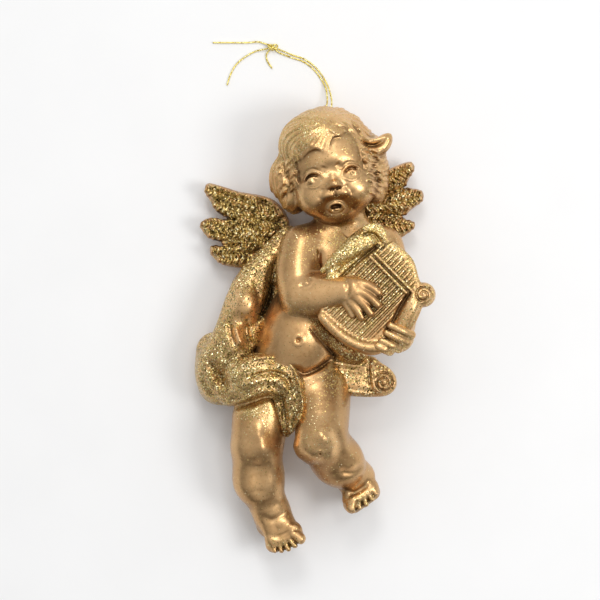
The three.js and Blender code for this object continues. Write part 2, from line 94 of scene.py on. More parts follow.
def make_world(level, headward, upward, least):
    """A pale room: how bright it is all round, and how much brighter past the head and overhead."""
    world = bpy.data.worlds.new("studio")
    world.use_nodes = True
    nodes, links = world.node_tree.nodes, world.node_tree.links
    split = nodes.new("ShaderNodeSeparateXYZ")
    links.new(nodes.new("ShaderNodeTexCoord").outputs["Generated"], split.inputs[0])
    brightness = level
    for axis, share in (("Y", headward), ("Z", upward)):
        sum_of = nodes.new("ShaderNodeMath")
        sum_of.operation = "MULTIPLY_ADD"
        links.new(split.outputs[axis], sum_of.inputs[0])
        sum_of.inputs[1].default_value = share
        if isinstance(brightness, float):
            sum_of.inputs[2].default_value = brightness
        else:
            links.new(brightness, sum_of.inputs[2])
        brightness = sum_of.outputs[0]
    lifted = nodes.new("ShaderNodeMath")
    lifted.operation = "MAXIMUM"
    links.new(brightness, lifted.inputs[0])
    lifted.inputs[1].default_value = least
    links.new(lifted.outputs[0], nodes["Background"].inputs["Strength"])
    nodes["Background"].inputs["Color"].default_value = (1, 1, 1, 1)
    bpy.context.scene.world = world


make_camera()
bpy.context.scene.view_settings.view_transform = "Standard"
make_world(level=0.24, headward=0.30, upward=0.66, least=0.12)
make_light("softbox_above_head", (-0.04, 0.52, 0.64), size=0.24, watts=1.35)
make_light("softbox_overhead", (0.20, 0.20, 0.90), size=0.12, watts=0.5)
make_light("softbox_right", (0.52, -0.06, 0.64), size=0.28, watts=2.0)


# -------------------- shapes in numbers
def smooth_min(a, b, blend):
    if blend <= 0:
        return np.minimum(a, b)
    near = np.maximum(blend - np.abs(a - b), 0) / blend
    return np.minimum(a, b) - near * near * (blend / 4)


def smooth_max(a, b, blend):
    return -smooth_min(-a, -b, blend)


def ramp(value, start, end):
    """Rises smoothly from 0 at start to 1 at end."""
    share = np.clip((value - start) / (end - start), 0, 1)
    return share * share * (3 - 2 * share)


def turning(turn, tilt=0.0):
    """Axes tilted about X and then turned about Z, in degrees, as the columns of a matrix."""
    c, s = math.cos(math.radians(turn)), math.sin(math.radians(turn))
    d, t = math.cos(math.radians(tilt)), math.sin(math.radians(tilt))
    return np.array([[c, -s, 0], [s, c, 0], [0, 0, 1]]) @ np.array([[1, 0, 0], [0, d, -t], [0, t, d]])


def smooth_line(points, steps=6):
    """Points on a smooth curve through the points given (Catmull-Rom), whatever numbers each one holds."""
    given = np.array(points, float)
    if len(given) < 3:
        return given[0] + np.linspace(0, 1, steps + 1)[:, None] * (given[-1] - given[0])
    padded = np.vstack([2 * given[0] - given[1], given, 2 * given[-1] - given[-2]])
    share = np.arange(steps)[:, None] / steps
    rows = []
    for a, b, c, d in zip(padded, padded[1:], padded[2:], padded[3:]):
        rows.append(0.5 * (2 * b + (c - a) * share + (2 * a - 5 * b + 4 * c - d) * share**2
                           + (3 * b - a - 3 * c + d) * share**3))
    return np.vstack([*rows, given[-1:]])


def closed_line(points, steps=4):
    """The same round a closed outline."""
    given = np.array(points, float)
    wrapped = np.vstack([given[-1:], given, given[:2]])
    return smooth_line(wrapped, steps)[steps:-steps - 1]


# -------------------- forms: (lowest corner, highest corner, distance from the surface)
def egg(centre, size, turn=0.0, tilt=0.0):
    centre, radii, own = np.array(centre, float), np.array(size, float) / 2, turning(turn, tilt)
    reach = np.sqrt(((own * radii) ** 2).sum(1))

    def distance(x, y, z):
        x, y, z = x - centre[0], y - centre[1], z - centre[2]
        along = [own[0, i] * x + own[1, i] * y + own[2, i] * z for i in range(3)]
        inner = np.sqrt(sum((a / r) ** 2 for a, r in zip(along, radii)))
        outer = np.sqrt(sum((a / r**2) ** 2 for a, r in zip(along, radii)))
        return inner * (inner - 1) / np.maximum(outer, 1e-5)

    return centre - reach, centre + reach, distance


def taper(start, start_radius, end, end_radius):
    start, end = np.array(start, float), np.array(end, float)
    along = end - start
    square = max(float(along @ along), 1e-9)
    radius = max(start_radius, end_radius)

    def distance(x, y, z):
        x, y, z = x - start[0], y - start[1], z - start[2]
        share = np.clip((x * along[0] + y * along[1] + z * along[2]) / square, 0, 1)
        x, y, z = x - share * along[0], y - share * along[1], z - share * along[2]
        return np.sqrt(x**2 + y**2 + z**2) - (start_radius + share * (end_radius - start_radius))

    return np.minimum(start, end) - radius, np.maximum(start, end) + radius, distance


def rope(stations, steps=3):
    """Tapers end to end along a smooth line through (x, y, z, radius)."""
    line = smooth_line(stations, steps)
    return [taper(a[:3], a[3], b[:3], b[3]) for a, b in zip(line, line[1:])]


def outline_distance(outline, x, y):
    """Signed distance from a closed outline, seen from the front."""
    away = np.full(np.broadcast(x, y).shape, 1e9, np.float32)
    inside = np.zeros(away.shape, bool)
    for (ax, ay), (bx, by) in zip(outline, np.roll(outline, -1, axis=0)):
        ex, ey = bx - ax, by - ay
        share = np.clip(((x - ax) * ex + (y - ay) * ey) / max(ex * ex + ey * ey, 1e-9), 0, 1)
        away = np.minimum(away, (x - ax - share * ex) ** 2 + (y - ay - share * ey) ** 2)
        if ay != by:
            crossing = ((ay > y) != (by > y)) & (x < ex * (y - ay) / (by - ay) + ax)
            inside ^= crossing
    return np.where(inside, -1, 1) * np.sqrt(away)


def slab(outline, bottom, top, rounding):
    """A plate with round edges. Its top is a height, or a function of (x, y, distance inside the outline)."""
    outline = np.array(outline, float)[:, :2]
    highest = BEYOND if callable(top) else top

    def distance(x, y, z):
        side = outline_distance(outline, x, y)
        lid = top(x, y, -side) if callable(top) else top
        half = (lid - bottom) / 2
        across, up = side + rounding, np.abs(z - bottom - half) - half + rounding
        outside = np.sqrt(np.maximum(across, 0) ** 2 + np.maximum(up, 0) ** 2)
        return np.minimum(np.maximum(across, up), 0) + outside - rounding

    return np.array([*outline.min(0), bottom]), np.array([*outline.max(0), highest]), distance


# -------------------- clay: a block of distances that forms are added to
FAR = 4.0
MARGIN = 3.2  # how far round a form its distances are worked out


class Clay:
    def __init__(self, low, high, step):
        self.step = step
        self.low = np.array(low, float) - 3 * step
        count = np.ceil((np.array(high, float) + 3 * step - self.low) / step).astype(int) + 1
        self.field = np.full(count, FAR, np.float32)

    def like(self):
        """A new block on the same grid."""
        block = Clay.__new__(Clay)
        block.step, block.low, block.field = self.step, self.low, np.full_like(self.field, FAR)
        return block

    def window(self, low, high):
        first = np.clip(np.floor((np.array(low) - self.low) / self.step), 0, None).astype(int)
        last = np.minimum(np.ceil((np.array(high) - self.low) / self.step).astype(int) + 1, self.field.shape)
        return tuple(slice(a, max(a, b)) for a, b in zip(first, last))

    def points(self, window):
        axes = [self.low[i] + self.step * np.arange(s.start, s.stop) for i, s in enumerate(window)]
        return np.meshgrid(*[a.astype(np.float32) for a in axes], indexing="ij", sparse=True)

    def made_of(self, forms):
        made = np.full_like(self.field, FAR)
        for low, high, distance in forms:
            window = self.window(low - MARGIN, high + MARGIN)
            if made[window].size:
                made[window] = np.minimum(made[window], distance(*self.points(window)))
        return made

    def add(self, forms, blend=0.0):
        self.field = smooth_min(self.field, self.made_of(forms), blend)

    def rope(self, at, stations, blend, steps=3):
        """Adds a rope through stations (x, y, z, radius)."""
        self.add(rope([at(*station) for station in stations], steps), blend)

    def carve(self, forms, blend=0.0):
        self.field = smooth_max(self.field, -self.made_of(forms), blend)

    def everywhere(self):
        return self.points([slice(0, count) for count in self.field.shape])

    def flatten(self, height=0.0, rounding=0.4):
        """Cuts off flat below a height."""
        z = self.everywhere()[2]
        self.field = smooth_max(self.field, height - z + 0 * self.field, rounding)

    def trim(self, outline, rounding):
        """Cuts off outside an outline, seen from the front."""
        x, y, z = self.everywhere()
        self.field = smooth_max(self.field, outline_distance(outline[:, :2], x, y) + 0 * z, rounding)

    def share_of(self, others, blend, overlap=0.35):
        """Runs smoothly into the neighbouring castings, and keeps only what belongs to this one."""
        whole = smooth_min(self.field, others, blend)
        self.field = np.maximum(whole, self.field - others - overlap)

    def stroke(self, line, width, height, above=-BEYOND, fade=1.5, ends=0.25):
        """A ridge, or a groove with a height below zero, along a line drawn on the front (x, y).
        It fades out over a share of its length at both ends, and below a height."""
        line = smooth_line([p[:2] for p in line])
        reach = 2.6 * width
        low, high = line.min(0) - reach, line.max(0) + reach
        window = self.window([*low, above], [*high, BEYOND])
        if not self.field[window].size:
            return
        x, y, z = self.points(window)
        x, y = x[:, :, 0], y[:, :, 0]
        best, where = np.full(np.broadcast(x, y).shape, 1e9, np.float32), 0.0
        for i, ((ax, ay), (bx, by)) in enumerate(zip(line, line[1:])):
            ex, ey = bx - ax, by - ay
            share = np.clip(((x - ax) * ex + (y - ay) * ey) / max(ex * ex + ey * ey, 1e-9), 0, 1)
            away = (x - ax - share * ex) ** 2 + (y - ay - share * ey) ** 2
            where = np.where(away < best, (i + share) / (len(line) - 1), where)
            best = np.minimum(best, away)
        profile = height * np.exp(-best / width**2)
        if ends > 0:
            profile = profile * np.clip(np.minimum(where, 1 - where) / ends + 0.15, 0, 1)
        self.field[window] -= profile[:, :, None] * ramp(z, above, above + fade)

    def strokes(self, at, lines, above, **ending):
        """Strokes given as (width, height, point, point ...)."""
        for width, height, *line in lines:
            self.stroke([at(*point) for point in line], width, height, above, **ending)

    def ripple(self, height, low=None, high=None):
        """Moves the surface out by height(x, y, z), inside a box if one is given."""
        top = self.low + self.step * np.array(self.field.shape)
        window = self.window(self.low if low is None else low, top if high is None else high)
        self.field[window] -= height(*self.points(window)).astype(np.float32)

    def sample(self, points):
        """Distances at points, linearly between the grid's."""
        place = (points - self.low) / self.step
        place = np.clip(place, 0, np.array(self.field.shape) - 1.001)
        cell = place.astype(int)
        share = place - cell
        total = np.zeros(len(points))
        for corner in np.ndindex(2, 2, 2):
            weight = np.prod(np.where(corner, share, 1 - share), axis=1)
            index = cell + corner
            total += weight * self.field[index[:, 0], index[:, 1], index[:, 2]]
        return total

    def slope(self, points):
        reach = 0.6 * self.step
        slope = np.stack([self.sample(points + reach * axis) - self.sample(points - reach * axis)
                          for axis in np.eye(3)], axis=1)
        return slope / np.maximum(np.linalg.norm(slope, axis=1, keepdims=True), 1e-9)

    def surface(self):
        """Surface nets: one point in each cell that the surface crosses, and a four-sided face between
        the four cells round each grid edge that it crosses."""
        field = self.field
        inside = field < 0
        filled = sum(inside[tuple(slice(c, c - 1 or None) for c in corner)].astype(np.int8)
                     for corner in np.ndindex(2, 2, 2))
        crossed = (filled > 0) & (filled < 8)
        cells = np.argwhere(crossed)
        number = np.full(crossed.shape, -1, np.int64)
        number[crossed] = np.arange(len(cells))
        total, hits = np.zeros((len(cells), 3)), np.zeros(len(cells))
        for axis in range(3):
            unit = np.eye(3, dtype=int)[axis]
            for corner in np.ndindex(2, 2, 2):
                if corner[axis]:
                    continue
                start, end = cells + corner, cells + corner + unit
                a, b = field[tuple(start.T)], field[tuple(end.T)]
                cut = (a < 0) != (b < 0)
                share = np.where(cut, a / np.where(cut, a - b, 1), 0)
                total += cut[:, None] * (np.array(corner) + share[:, None] * unit)
                hits += cut
        points = self.low + self.step * (cells + total / hits[:, None])
        faces = []
        for axis in range(3):
            u, v = (axis + 1) % 3, (axis + 2) % 3
            ends = [[slice(1, -1)] * 3, [slice(1, -1)] * 3]
            ends[0][axis], ends[1][axis] = slice(0, -1), slice(1, None)
            first, second = inside[tuple(ends[0])], inside[tuple(ends[1])]
            edges = np.argwhere(first != second)
            out = first[tuple(edges.T)]
            base = edges + 1
            base[:, axis] -= 1
            ring = []
            for du, dv in ((0, 0), (-1, 0), (-1, -1), (0, -1)):
                cell = base.copy()
                cell[:, u] += du
                cell[:, v] += dv
                ring.append(number[tuple(cell.T)])
            ring = np.stack(ring, axis=1)
            faces.append(np.where(out[:, None], ring, ring[:, ::-1]))
        return points, np.vstack(faces)


def main_part(count, faces):
    """The faces of the largest connected surface."""
    label = np.arange(count)
    while True:
        lowest = label[faces].min(1)
        lower = label.copy()
        for column in faces.T:
            np.minimum.at(lower, column, lowest)
        lower = lower[lower]
        if (lower == label).all():
            break
        label = lower
    names, sizes = np.unique(label[faces[:, 0]], return_counts=True)
    return faces[label[faces[:, 0]] == names[sizes.argmax()]]


CAVITY_REACHES = (0.5, 1.1, 2.2)  # how far out of the surface the clay is looked at, in millimetres
FEETWARD_PAINTED_SHADE = 0.6  # how much painted shade at most, on what faces the feet


def fire(name, clay, at, dusting, painted_shade=None):
    """The finished casting as a mesh piece. Its points carry three shares from 0 to 1: how hollow the surface
    is there (cavity), how much glitter lies on it (glitter), from dusting(x, y, z, normals), and how much
    painted shade darkens the gold there (shade). The shade is painted on whatever faces the feet, away from
    the light above the head, and more where the function given for painted shade says so. Both functions
    measure from the place given."""
    points, faces = clay.surface()
    for _ in range(2):
        points -= clay.slope(points) * clay.sample(points)[:, None]
    faces = main_part(len(points), faces)
    used, faces = np.unique(faces, return_inverse=True)
    points, faces = points[used], faces.reshape(-1, 4)
    normals = clay.slope(points)
    openness = sum(clay.sample(points + reach * normals) / reach for reach in CAVITY_REACHES)
    cavity = np.clip(1.1 - openness / len(CAVITY_REACHES), 0, 1)
    glitter = dusting(*at.measured(points), normals)
    # painted shade: darker on faces turned towards the feet, away from the light above the head, and more
    # where this casting's painted shade function says so
    shade = FEETWARD_PAINTED_SHADE * ramp(-normals[:, 1], 0.3, 0.95)
    if painted_shade is not None:
        shade = np.maximum(shade, painted_shade(*at.measured(points)))
    mesh = bpy.data.meshes.new(name)
    mesh.vertices.add(len(points))
    mesh.vertices.foreach_set("co", (points * MM).astype(np.float32).ravel())
    mesh.loops.add(faces.size)
    mesh.loops.foreach_set("vertex_index", faces.astype(np.int32).ravel())
    mesh.polygons.add(len(faces))
    mesh.polygons.foreach_set("loop_start", np.arange(0, faces.size, 4, dtype=np.int32))
    mesh.update(calc_edges=True)
    mesh.validate()
    mesh.polygons.foreach_set("use_smooth", np.ones(len(mesh.polygons), bool))
    for label, values in (("cavity", cavity), ("glitter", glitter), ("shade", shade)):
        mesh.attributes.new(label, "FLOAT", "POINT").data.foreach_set("value", values.astype(np.float32))
    piece = bpy.data.objects.new(name, mesh)
    bpy.context.scene.collection.objects.link(piece)
    return piece


def box_of(node):
    low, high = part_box(node)
    return np.array(low) / MM, np.array(high) / MM


class Place:
    """A centre with axes of its own, turned about Z. Called with a point measured in them, it gives the point
    in the model, and passes on whatever follows the three numbers."""

    def __init__(self, centre, turn=0.0):
        self.centre, self.axes = np.array(centre, float), turning(turn)

    def __call__(self, u, v, w=0.0, *rest):
        return (*map(float, self.centre + self.axes @ (u, v, w)), *rest)

    def measured(self, points):
        """The points of the model as they are measured here."""
        return ((points - self.centre) @ self.axes).T


def place_of(node):
    """Measures from the middle of a node's box, and from the floor."""
    low, high = box_of(node)
    return Place((*(low[:2] + high[:2]) / 2, 0))


def block_for(node, step, spare=1.0):
    low, high = box_of(node)
    return Clay(low - spare, high + spare, step)


# -------------------- materials
class Paint:
    """A node material in the making."""

    def __init__(self, name):
        self.material = bpy.data.materials.new(name)
        self.material.use_nodes = True
        self.tree = self.material.node_tree
        self.shader = self.tree.nodes["Principled BSDF"]
        self.place = self.tree.nodes.new("ShaderNodeTexCoord").outputs["Object"]

    def link(self, source, target):
        self.tree.links.new(source, target)

    def node(self, kind, inputs=(), **settings):
        made = self.tree.nodes.new(kind)
        for key, value in settings.items():
            setattr(made, key, value)
        for key, value in dict(inputs).items():
            if isinstance(value, bpy.types.NodeSocket):
                self.link(value, made.inputs[key])
            else:
                made.inputs[key].default_value = value
        return made

    def noise(self, scale, detail=2.0, roughness=0.5):
        inputs = {"Vector": self.place, "Scale": scale, "Detail": detail, "Roughness": roughness}
        return self.node("ShaderNodeTexNoise", inputs).outputs["Fac"]

    def cells(self, scale, feature="F1"):
        return self.node("ShaderNodeTexVoronoi", {"Vector": self.place, "Scale": scale}, feature=feature)

    def math(self, operation, *values):
        return self.node("ShaderNodeMath", enumerate(values), operation=operation).outputs[0]

    def ramp(self, factor, *stops):
        """A smooth ramp of (position, colour or grey) stops."""
        made = self.node("ShaderNodeValToRGB", {"Fac": factor})
        elements = made.color_ramp.elements
        for i, (position, colour) in enumerate(stops):
            element = elements[i] if i < len(elements) else elements.new(position)
            element.position = position
            element.color = (*colour, 1) if isinstance(colour, tuple) else (colour, colour, colour, 1)
        return made.outputs["Color"]

    def mix(self, factor, a, b):
        made = self.node("ShaderNodeMix", {"Factor": factor}, data_type="RGBA")
        for socket, value in ((made.inputs[6], a), (made.inputs[7], b)):
            if isinstance(value, bpy.types.NodeSocket):
                self.link(value, socket)
            else:
                socket.default_value = (*value, 1)
        return made.outputs[2]

    def attribute(self, name):
        return self.node("ShaderNodeAttribute", attribute_name=name).outputs["Fac"]

    def bump(self, height, strength, distance):
        inputs = {"Height": height, "Strength": strength, "Distance": distance}
        return self.node("ShaderNodeBump", inputs).outputs["Normal"]

    def tilted(self, vector, strength, normal=None):
        """The normal, tilted by a random colour in each cell: a flake."""
        centred = self.node("ShaderNodeVectorMath", {0: vector, 1: (0.5, 0.5, 0.5)}, operation="SUBTRACT")
        scaled = self.node("ShaderNodeVectorMath", {0: centred.outputs[0], "Scale": strength},
                           operation="SCALE")
        if normal is None:
            normal = self.node("ShaderNodeNewGeometry").outputs["Normal"]
        added = self.node("ShaderNodeVectorMath", {0: normal, 1: scaled.outputs[0]}, operation="ADD")
        return self.node("ShaderNodeVectorMath", {0: added.outputs[0]}, operation="NORMALIZE").outputs[0]


# Colours are linear.
# dark gold: the colour of the worn flecks, and also of the painted shade
GOLD_WORN_AND_SHADED = (0.24, 0.10, 0.028)
GOLD_MID = (0.64, 0.36, 0.145)
GOLD_LIGHT = (0.82, 0.53, 0.26)
# the painted shade in the hollows
HOLLOW_PAINTED_SHADE = (0.055, 0.020, 0.005)
# dark flakes and the gaps between them, and also the painted shade on flakes in the hollows
FLAKE_DARK_AND_HOLLOW_SHADE = (0.13, 0.08, 0.018)
FLAKE_OLIVE = (0.53, 0.385, 0.12)
FLAKE_GOLD = (0.90, 0.66, 0.25)
FLAKE_SPARK = (1.0, 0.90, 0.55)
BRASS_DARK = (0.45, 0.27, 0.08)
BRASS = (0.80, 0.56, 0.22)
THREAD_DARK = (0.42, 0.27, 0.03)
THREAD_GOLD = (0.95, 0.74, 0.13)
THREAD_LIGHT = (1.0, 0.93, 0.45)


def gold_paint(name, fleck_scale, flake_tilt, coarse):
    """Satin gold paint with painted shade in the hollows and on shaded faces, under glitter that lies as
    thick as the mesh says.
    """
    paint = Paint(name)
    cavity, dust = paint.attribute("cavity"), paint.attribute("glitter")
    patches = paint.noise(110, 3)
    mottle = paint.noise(900, 3, 0.6)
    grain = paint.noise(4200, 2, 0.6)
    tone = paint.math("ADD", paint.math("MULTIPLY", patches, 0.6), paint.math("MULTIPLY", mottle, 0.4))
    gold = paint.ramp(tone, (0.3, GOLD_MID), (0.7, GOLD_LIGHT))
    # painted shade: the shade share darkens the gold towards its dark tone
    gold = paint.mix(paint.attribute("shade"), gold, GOLD_WORN_AND_SHADED)
    # painted shade in the hollows, deepest where the surface is most hollow
    depth = paint.ramp(cavity, (0.12, 0.0), (0.75, 1.0))
    gold = paint.mix(paint.math("MULTIPLY", depth, 0.8), gold, HOLLOW_PAINTED_SHADE)
    wear = paint.ramp(paint.noise(2300, 2), (0.60, 0.0), (0.72, 0.35))
    gold = paint.mix(wear, gold, GOLD_WORN_AND_SHADED)

    flakes = paint.cells(fleck_scale)
    spread = paint.node("ShaderNodeSeparateColor", {"Color": flakes.outputs["Color"]})
    rim = paint.cells(fleck_scale, "DISTANCE_TO_EDGE").outputs["Distance"]
    glint = paint.ramp(spread.outputs[0], (0.0, FLAKE_DARK_AND_HOLLOW_SHADE), (coarse, FLAKE_OLIVE), (0.72, FLAKE_GOLD),
                       (0.93, FLAKE_SPARK))
    gap = paint.ramp(rim, (0.0, 1.0), (0.10, 0.0))
    glint = paint.mix(paint.math("MULTIPLY", gap, 0.6), glint, FLAKE_DARK_AND_HOLLOW_SHADE)
    # painted shade on the flakes in the hollows
    glint = paint.mix(paint.math("MULTIPLY", depth, 0.6), glint, FLAKE_DARK_AND_HOLLOW_SHADE)
    # a flake lies where its own random number is under the dust's thickness
    lies = paint.math("GREATER_THAN", dust, spread.outputs[1])
    paint.link(paint.mix(lies, gold, glint), paint.shader.inputs["Base Color"])

    relief = paint.math("ADD", paint.math("MULTIPLY", grain, 0.35), paint.math("MULTIPLY", mottle, 0.65))
    skin = paint.bump(relief, 0.22, 0.00012)
    facet = paint.tilted(flakes.outputs["Color"], flake_tilt, skin)
    normal = paint.node("ShaderNodeMix", {"Factor": lies}, data_type="VECTOR")
    paint.link(skin, normal.inputs[4])
    paint.link(facet, normal.inputs[5])
    paint.link(normal.outputs[1], paint.shader.inputs["Normal"])
    roughness = paint.mix(lies, paint.ramp(mottle, (0.3, 0.26), (0.7, 0.38)),
                          paint.ramp(spread.outputs[2], (0.0, 0.2), (1.0, 0.42)))
    paint.link(roughness, paint.shader.inputs["Roughness"])
    paint.shader.inputs["Metallic"].default_value = 0.88
    return paint.material


def brass_wire():
    paint = Paint("brass_wire")
    tone = paint.noise(1500, 3)
    paint.link(paint.ramp(tone, (0.3, BRASS_DARK), (0.7, BRASS)), paint.shader.inputs["Base Color"])
    paint.link(paint.ramp(paint.noise(3000, 2), (0.3, 0.22), (0.7, 0.4)), paint.shader.inputs["Roughness"])
    paint.link(paint.bump(paint.noise(5000, 2), 0.15, 0.0001), paint.shader.inputs["Normal"])
    paint.shader.inputs["Metallic"].default_value = 1.0
    return paint.material


def lurex():
    """Flat metal thread: each short stretch of it turns its face another way."""
    paint = Paint("lurex")
    glints = paint.cells(3600)
    shade = paint.node("ShaderNodeSeparateColor", {"Color": glints.outputs["Color"]})
    colour = paint.ramp(shade.outputs[0], (0.0, THREAD_DARK), (0.45, THREAD_GOLD), (0.85, THREAD_LIGHT))
    paint.link(colour, paint.shader.inputs["Base Color"])
    paint.link(paint.tilted(glints.outputs["Color"], 0.7), paint.shader.inputs["Normal"])
    paint.link(paint.ramp(shade.outputs[1], (0.0, 0.22), (1.0, 0.4)), paint.shader.inputs["Roughness"])
    paint.shader.inputs["Metallic"].default_value = 0.8
    return paint.material


MATERIALS = {
    "skin": gold_paint("satin_gold", 4600, 0.5, 0.04),
    "cloth": gold_paint("fine_glitter", 3300, 1.35, 0.30),
    "feathers": gold_paint("coarse_glitter", 2300, 1.3, 0.30),
    "strings": gold_paint("lyre_glitter", 3900, 0.8, 0.12),
    "wire": brass_wire(),
    "thread": lurex(),
}


def finish_piece(piece, material, slot, body, *nodes):
    piece.data.materials.clear()
    piece.data.materials.append(MATERIALS[material])
    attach(piece, body)
    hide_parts(*nodes)


def cast(name, node, clay, at, material, dusting, painted_shade=None):
    """Fires the clay, and puts the casting in the place of its node."""
    slot = "gold_paint" if material == "skin" else "gold_glitter"
    finish_piece(fire(name, clay, at, dusting, painted_shade), material, slot, "figure", node)


# -------------------- floor
FLOOR_HALF = 1.5  # metres
FLOOR_GREY = 0.86
FLOOR_PALE = 0.88


def make_floor():
    corners = [(x * FLOOR_HALF, y * FLOOR_HALF, 0) for x, y in ((-1, -1), (1, -1), (1, 1), (-1, 1))]
    mesh = bpy.data.meshes.new("floor")
    mesh.from_pydata(corners, [], [(0, 1, 2, 3)])
    floor = bpy.data.objects.new("floor", mesh)
    paint = Paint("table_top")
    colour = paint.ramp(paint.noise(40, 4), (0.3, FLOOR_GREY), (0.7, FLOOR_PALE))
    paint.link(colour, paint.shader.inputs["Base Color"])
    paint.shader.inputs["Roughness"].default_value = 0.7
    mesh.materials.append(paint.material)
    bpy.context.scene.collection.objects.link(floor)


make_floor()

# -------------------- the thread: two strands from the eye, tied together in a knot
THREAD_DIAMETER = 0.45
PLIES = 3
PLY_SIDES = 8
TWIST = 1.6  # millimetres along the thread for one turn of its plies
RUNNING_CLEARANCE = 0.3
LYING = THREAD_DIAMETER / 2 + 0.08
EYE_WIRE = 0.8
EYE = np.array(frame["joints"][0]["pos_m"]) / MM  # the middle of the eye, which the thread swings in
KNOT_OFFSET = (-15.2, 18.95, 0.8)
KNOT_SIZE = (3.2, 2.2, 1.4)


def from_eye(points):
    """Points given from the eye along X and Y, and from the floor along Z."""
    return [np.array([EYE[0] + x, EYE[1] + y, z]) for x, y, z in points]


KNOT = from_eye([KNOT_OFFSET])[0]
LOOP_ROUTE = from_eye([
    (0.1, 2.35, 2.6), (0.2, 4.75, 2.0), (-0.4, 7.75, 1.1), (-1.8, 10.55, LYING), (-4.0, 13.35, LYING),
    (-6.8, 15.35, LYING), (-10.0, 16.45, LYING), (-13.5, 17.9, LYING + 0.15),
])
STRAIGHT_TAIL = from_eye([
    (-17.1, 19.75, 0.7), (-19.2, 20.35, 0.5), (-22.2, 20.15, LYING), (-27.0, 20.15, LYING),
    (-31.6, 20.15, LYING),
])
CURVED_TAIL = from_eye([
    (-17.3, 18.35, 0.7), (-20.0, 17.75, LYING), (-22.8, 16.25, LYING), (-25.2, 14.15, LYING),
    (-26.7, 11.55, LYING), (-27.7, 8.55, LYING),
])
SHORT_TAIL = from_eye([
    (-16.5, 17.65, 0.6), (-17.0, 16.45, LYING), (-16.6, 14.95, LYING), (-15.4, 13.15, LYING),
])


def loop_side(side):
    """One side of the loop, from the middle of the eye to the knot."""
    eye_gap = (EYE_WIRE + THREAD_DIAMETER) / 2 + RUNNING_CLEARANCE
    side_gap = (THREAD_DIAMETER + RUNNING_CLEARANCE) / 2
    route = [EYE, EYE + (side * RUNNING_CLEARANCE * 0.8, 0, 0), EYE + (side * eye_gap * 0.75, 0.25, 0),
             EYE + (side * eye_gap, 0.9, -0.1)]
    for i, (x, y, z) in enumerate(LOOP_ROUTE):
        apart = eye_gap + (side_gap - eye_gap) * min(1, (i + 1) / 3)
        after, before = LOOP_ROUTE[min(i + 1, len(LOOP_ROUTE) - 1)], LOOP_ROUTE[max(i - 1, 0)]
        along = (after - before)[:2] / np.linalg.norm((after - before)[:2])
        route.append(np.array([x + side * apart * along[1], y - side * apart * along[0], z]))
    return route


def tubes_along(line, strands, sides, radius, closed=False):
    """Round tubes whose centres follow a line: strands gives each tube's offsets across it."""
    line = np.array(line)
    ahead = np.roll(line, -1, axis=0) - np.roll(line, 1, axis=0)
    if not closed:
        ahead[0], ahead[-1] = line[1] - line[0], line[-1] - line[-2]
    ahead /= np.linalg.norm(ahead, axis=1, keepdims=True)
    across = np.cross(ahead, (0, 0, 1.0))
    weak = np.linalg.norm(across, axis=1) < 0.05
    across[weak] = np.cross(ahead[weak], (1.0, 0, 0))
    across /= np.linalg.norm(across, axis=1, keepdims=True)
    upward = np.cross(across, ahead)
    points, faces = [], []
    angles = 2 * math.pi * np.arange(sides) / sides
    for offsets in strands:
        centre = line + across * offsets[:, :1] + upward * offsets[:, 1:]
        ring = (np.cos(angles)[None, :, None] * across[:, None]
                + np.sin(angles)[None, :, None] * upward[:, None])
        first = len(points) * len(line) * sides
        points.append((centre[:, None] + radius * ring).reshape(-1, 3))
        rows = len(line) if closed else len(line) - 1
        for i in range(rows):
            j = (i + 1) % len(line)
            for s in range(sides):
                t = (s + 1) % sides
                faces.append([first + i * sides + t, first + i * sides + s, first + j * sides + s,
                              first + j * sides + t])
        if not closed:
            faces.append([first + s for s in range(sides)])
            faces.append([first + rows * sides + s for s in reversed(range(sides))])
    return np.vstack(points), faces


def thread_piece(name, route, steps=14, closed=False):
    """Twisted plies of metal thread along a route."""
    line = closed_line(route, steps) if closed else smooth_line(route, steps)
    lengths = np.linalg.norm(np.diff(line, axis=0), axis=1)
    travelled = np.concatenate([[0], np.cumsum(lengths)])
    total = travelled[-1] + (np.linalg.norm(line[0] - line[-1]) if closed else 0)
    turns = round(total / TWIST) if closed else total / TWIST
    ply_radius = 0.31 * THREAD_DIAMETER
    swing = THREAD_DIAMETER / 2 - ply_radius
    strands = []
    for ply in range(PLIES):
        angle = 2 * math.pi * (travelled / total * turns + ply / PLIES)
        strands.append(swing * np.stack([np.cos(angle), np.sin(angle)], axis=1))
    points, faces = tubes_along(line, strands, PLY_SIDES, ply_radius, closed)
    mesh = bpy.data.meshes.new(name)
    mesh.from_pydata((points * MM).tolist(), [], faces)
    mesh.polygons.foreach_set("use_smooth", [len(p.vertices) == 4 for p in mesh.polygons])
    piece = bpy.data.objects.new(name, mesh)
    bpy.context.scene.collection.objects.link(piece)
    return piece, line


def knot_route(points=26):
    """An overhand knot: a trefoil, pressed into the knot's size."""
    half = (np.array(KNOT_SIZE) - THREAD_DIAMETER) / 2
    route = []
    for i in range(points):
        t = 2 * math.pi * i / points
        x, y = (math.sin(t) + 2 * math.sin(2 * t)) / 2.9, (math.cos(t) - 2 * math.cos(2 * t)) / 3
        route.append(KNOT + half * (x, y, -math.sin(3 * t)))
    return route


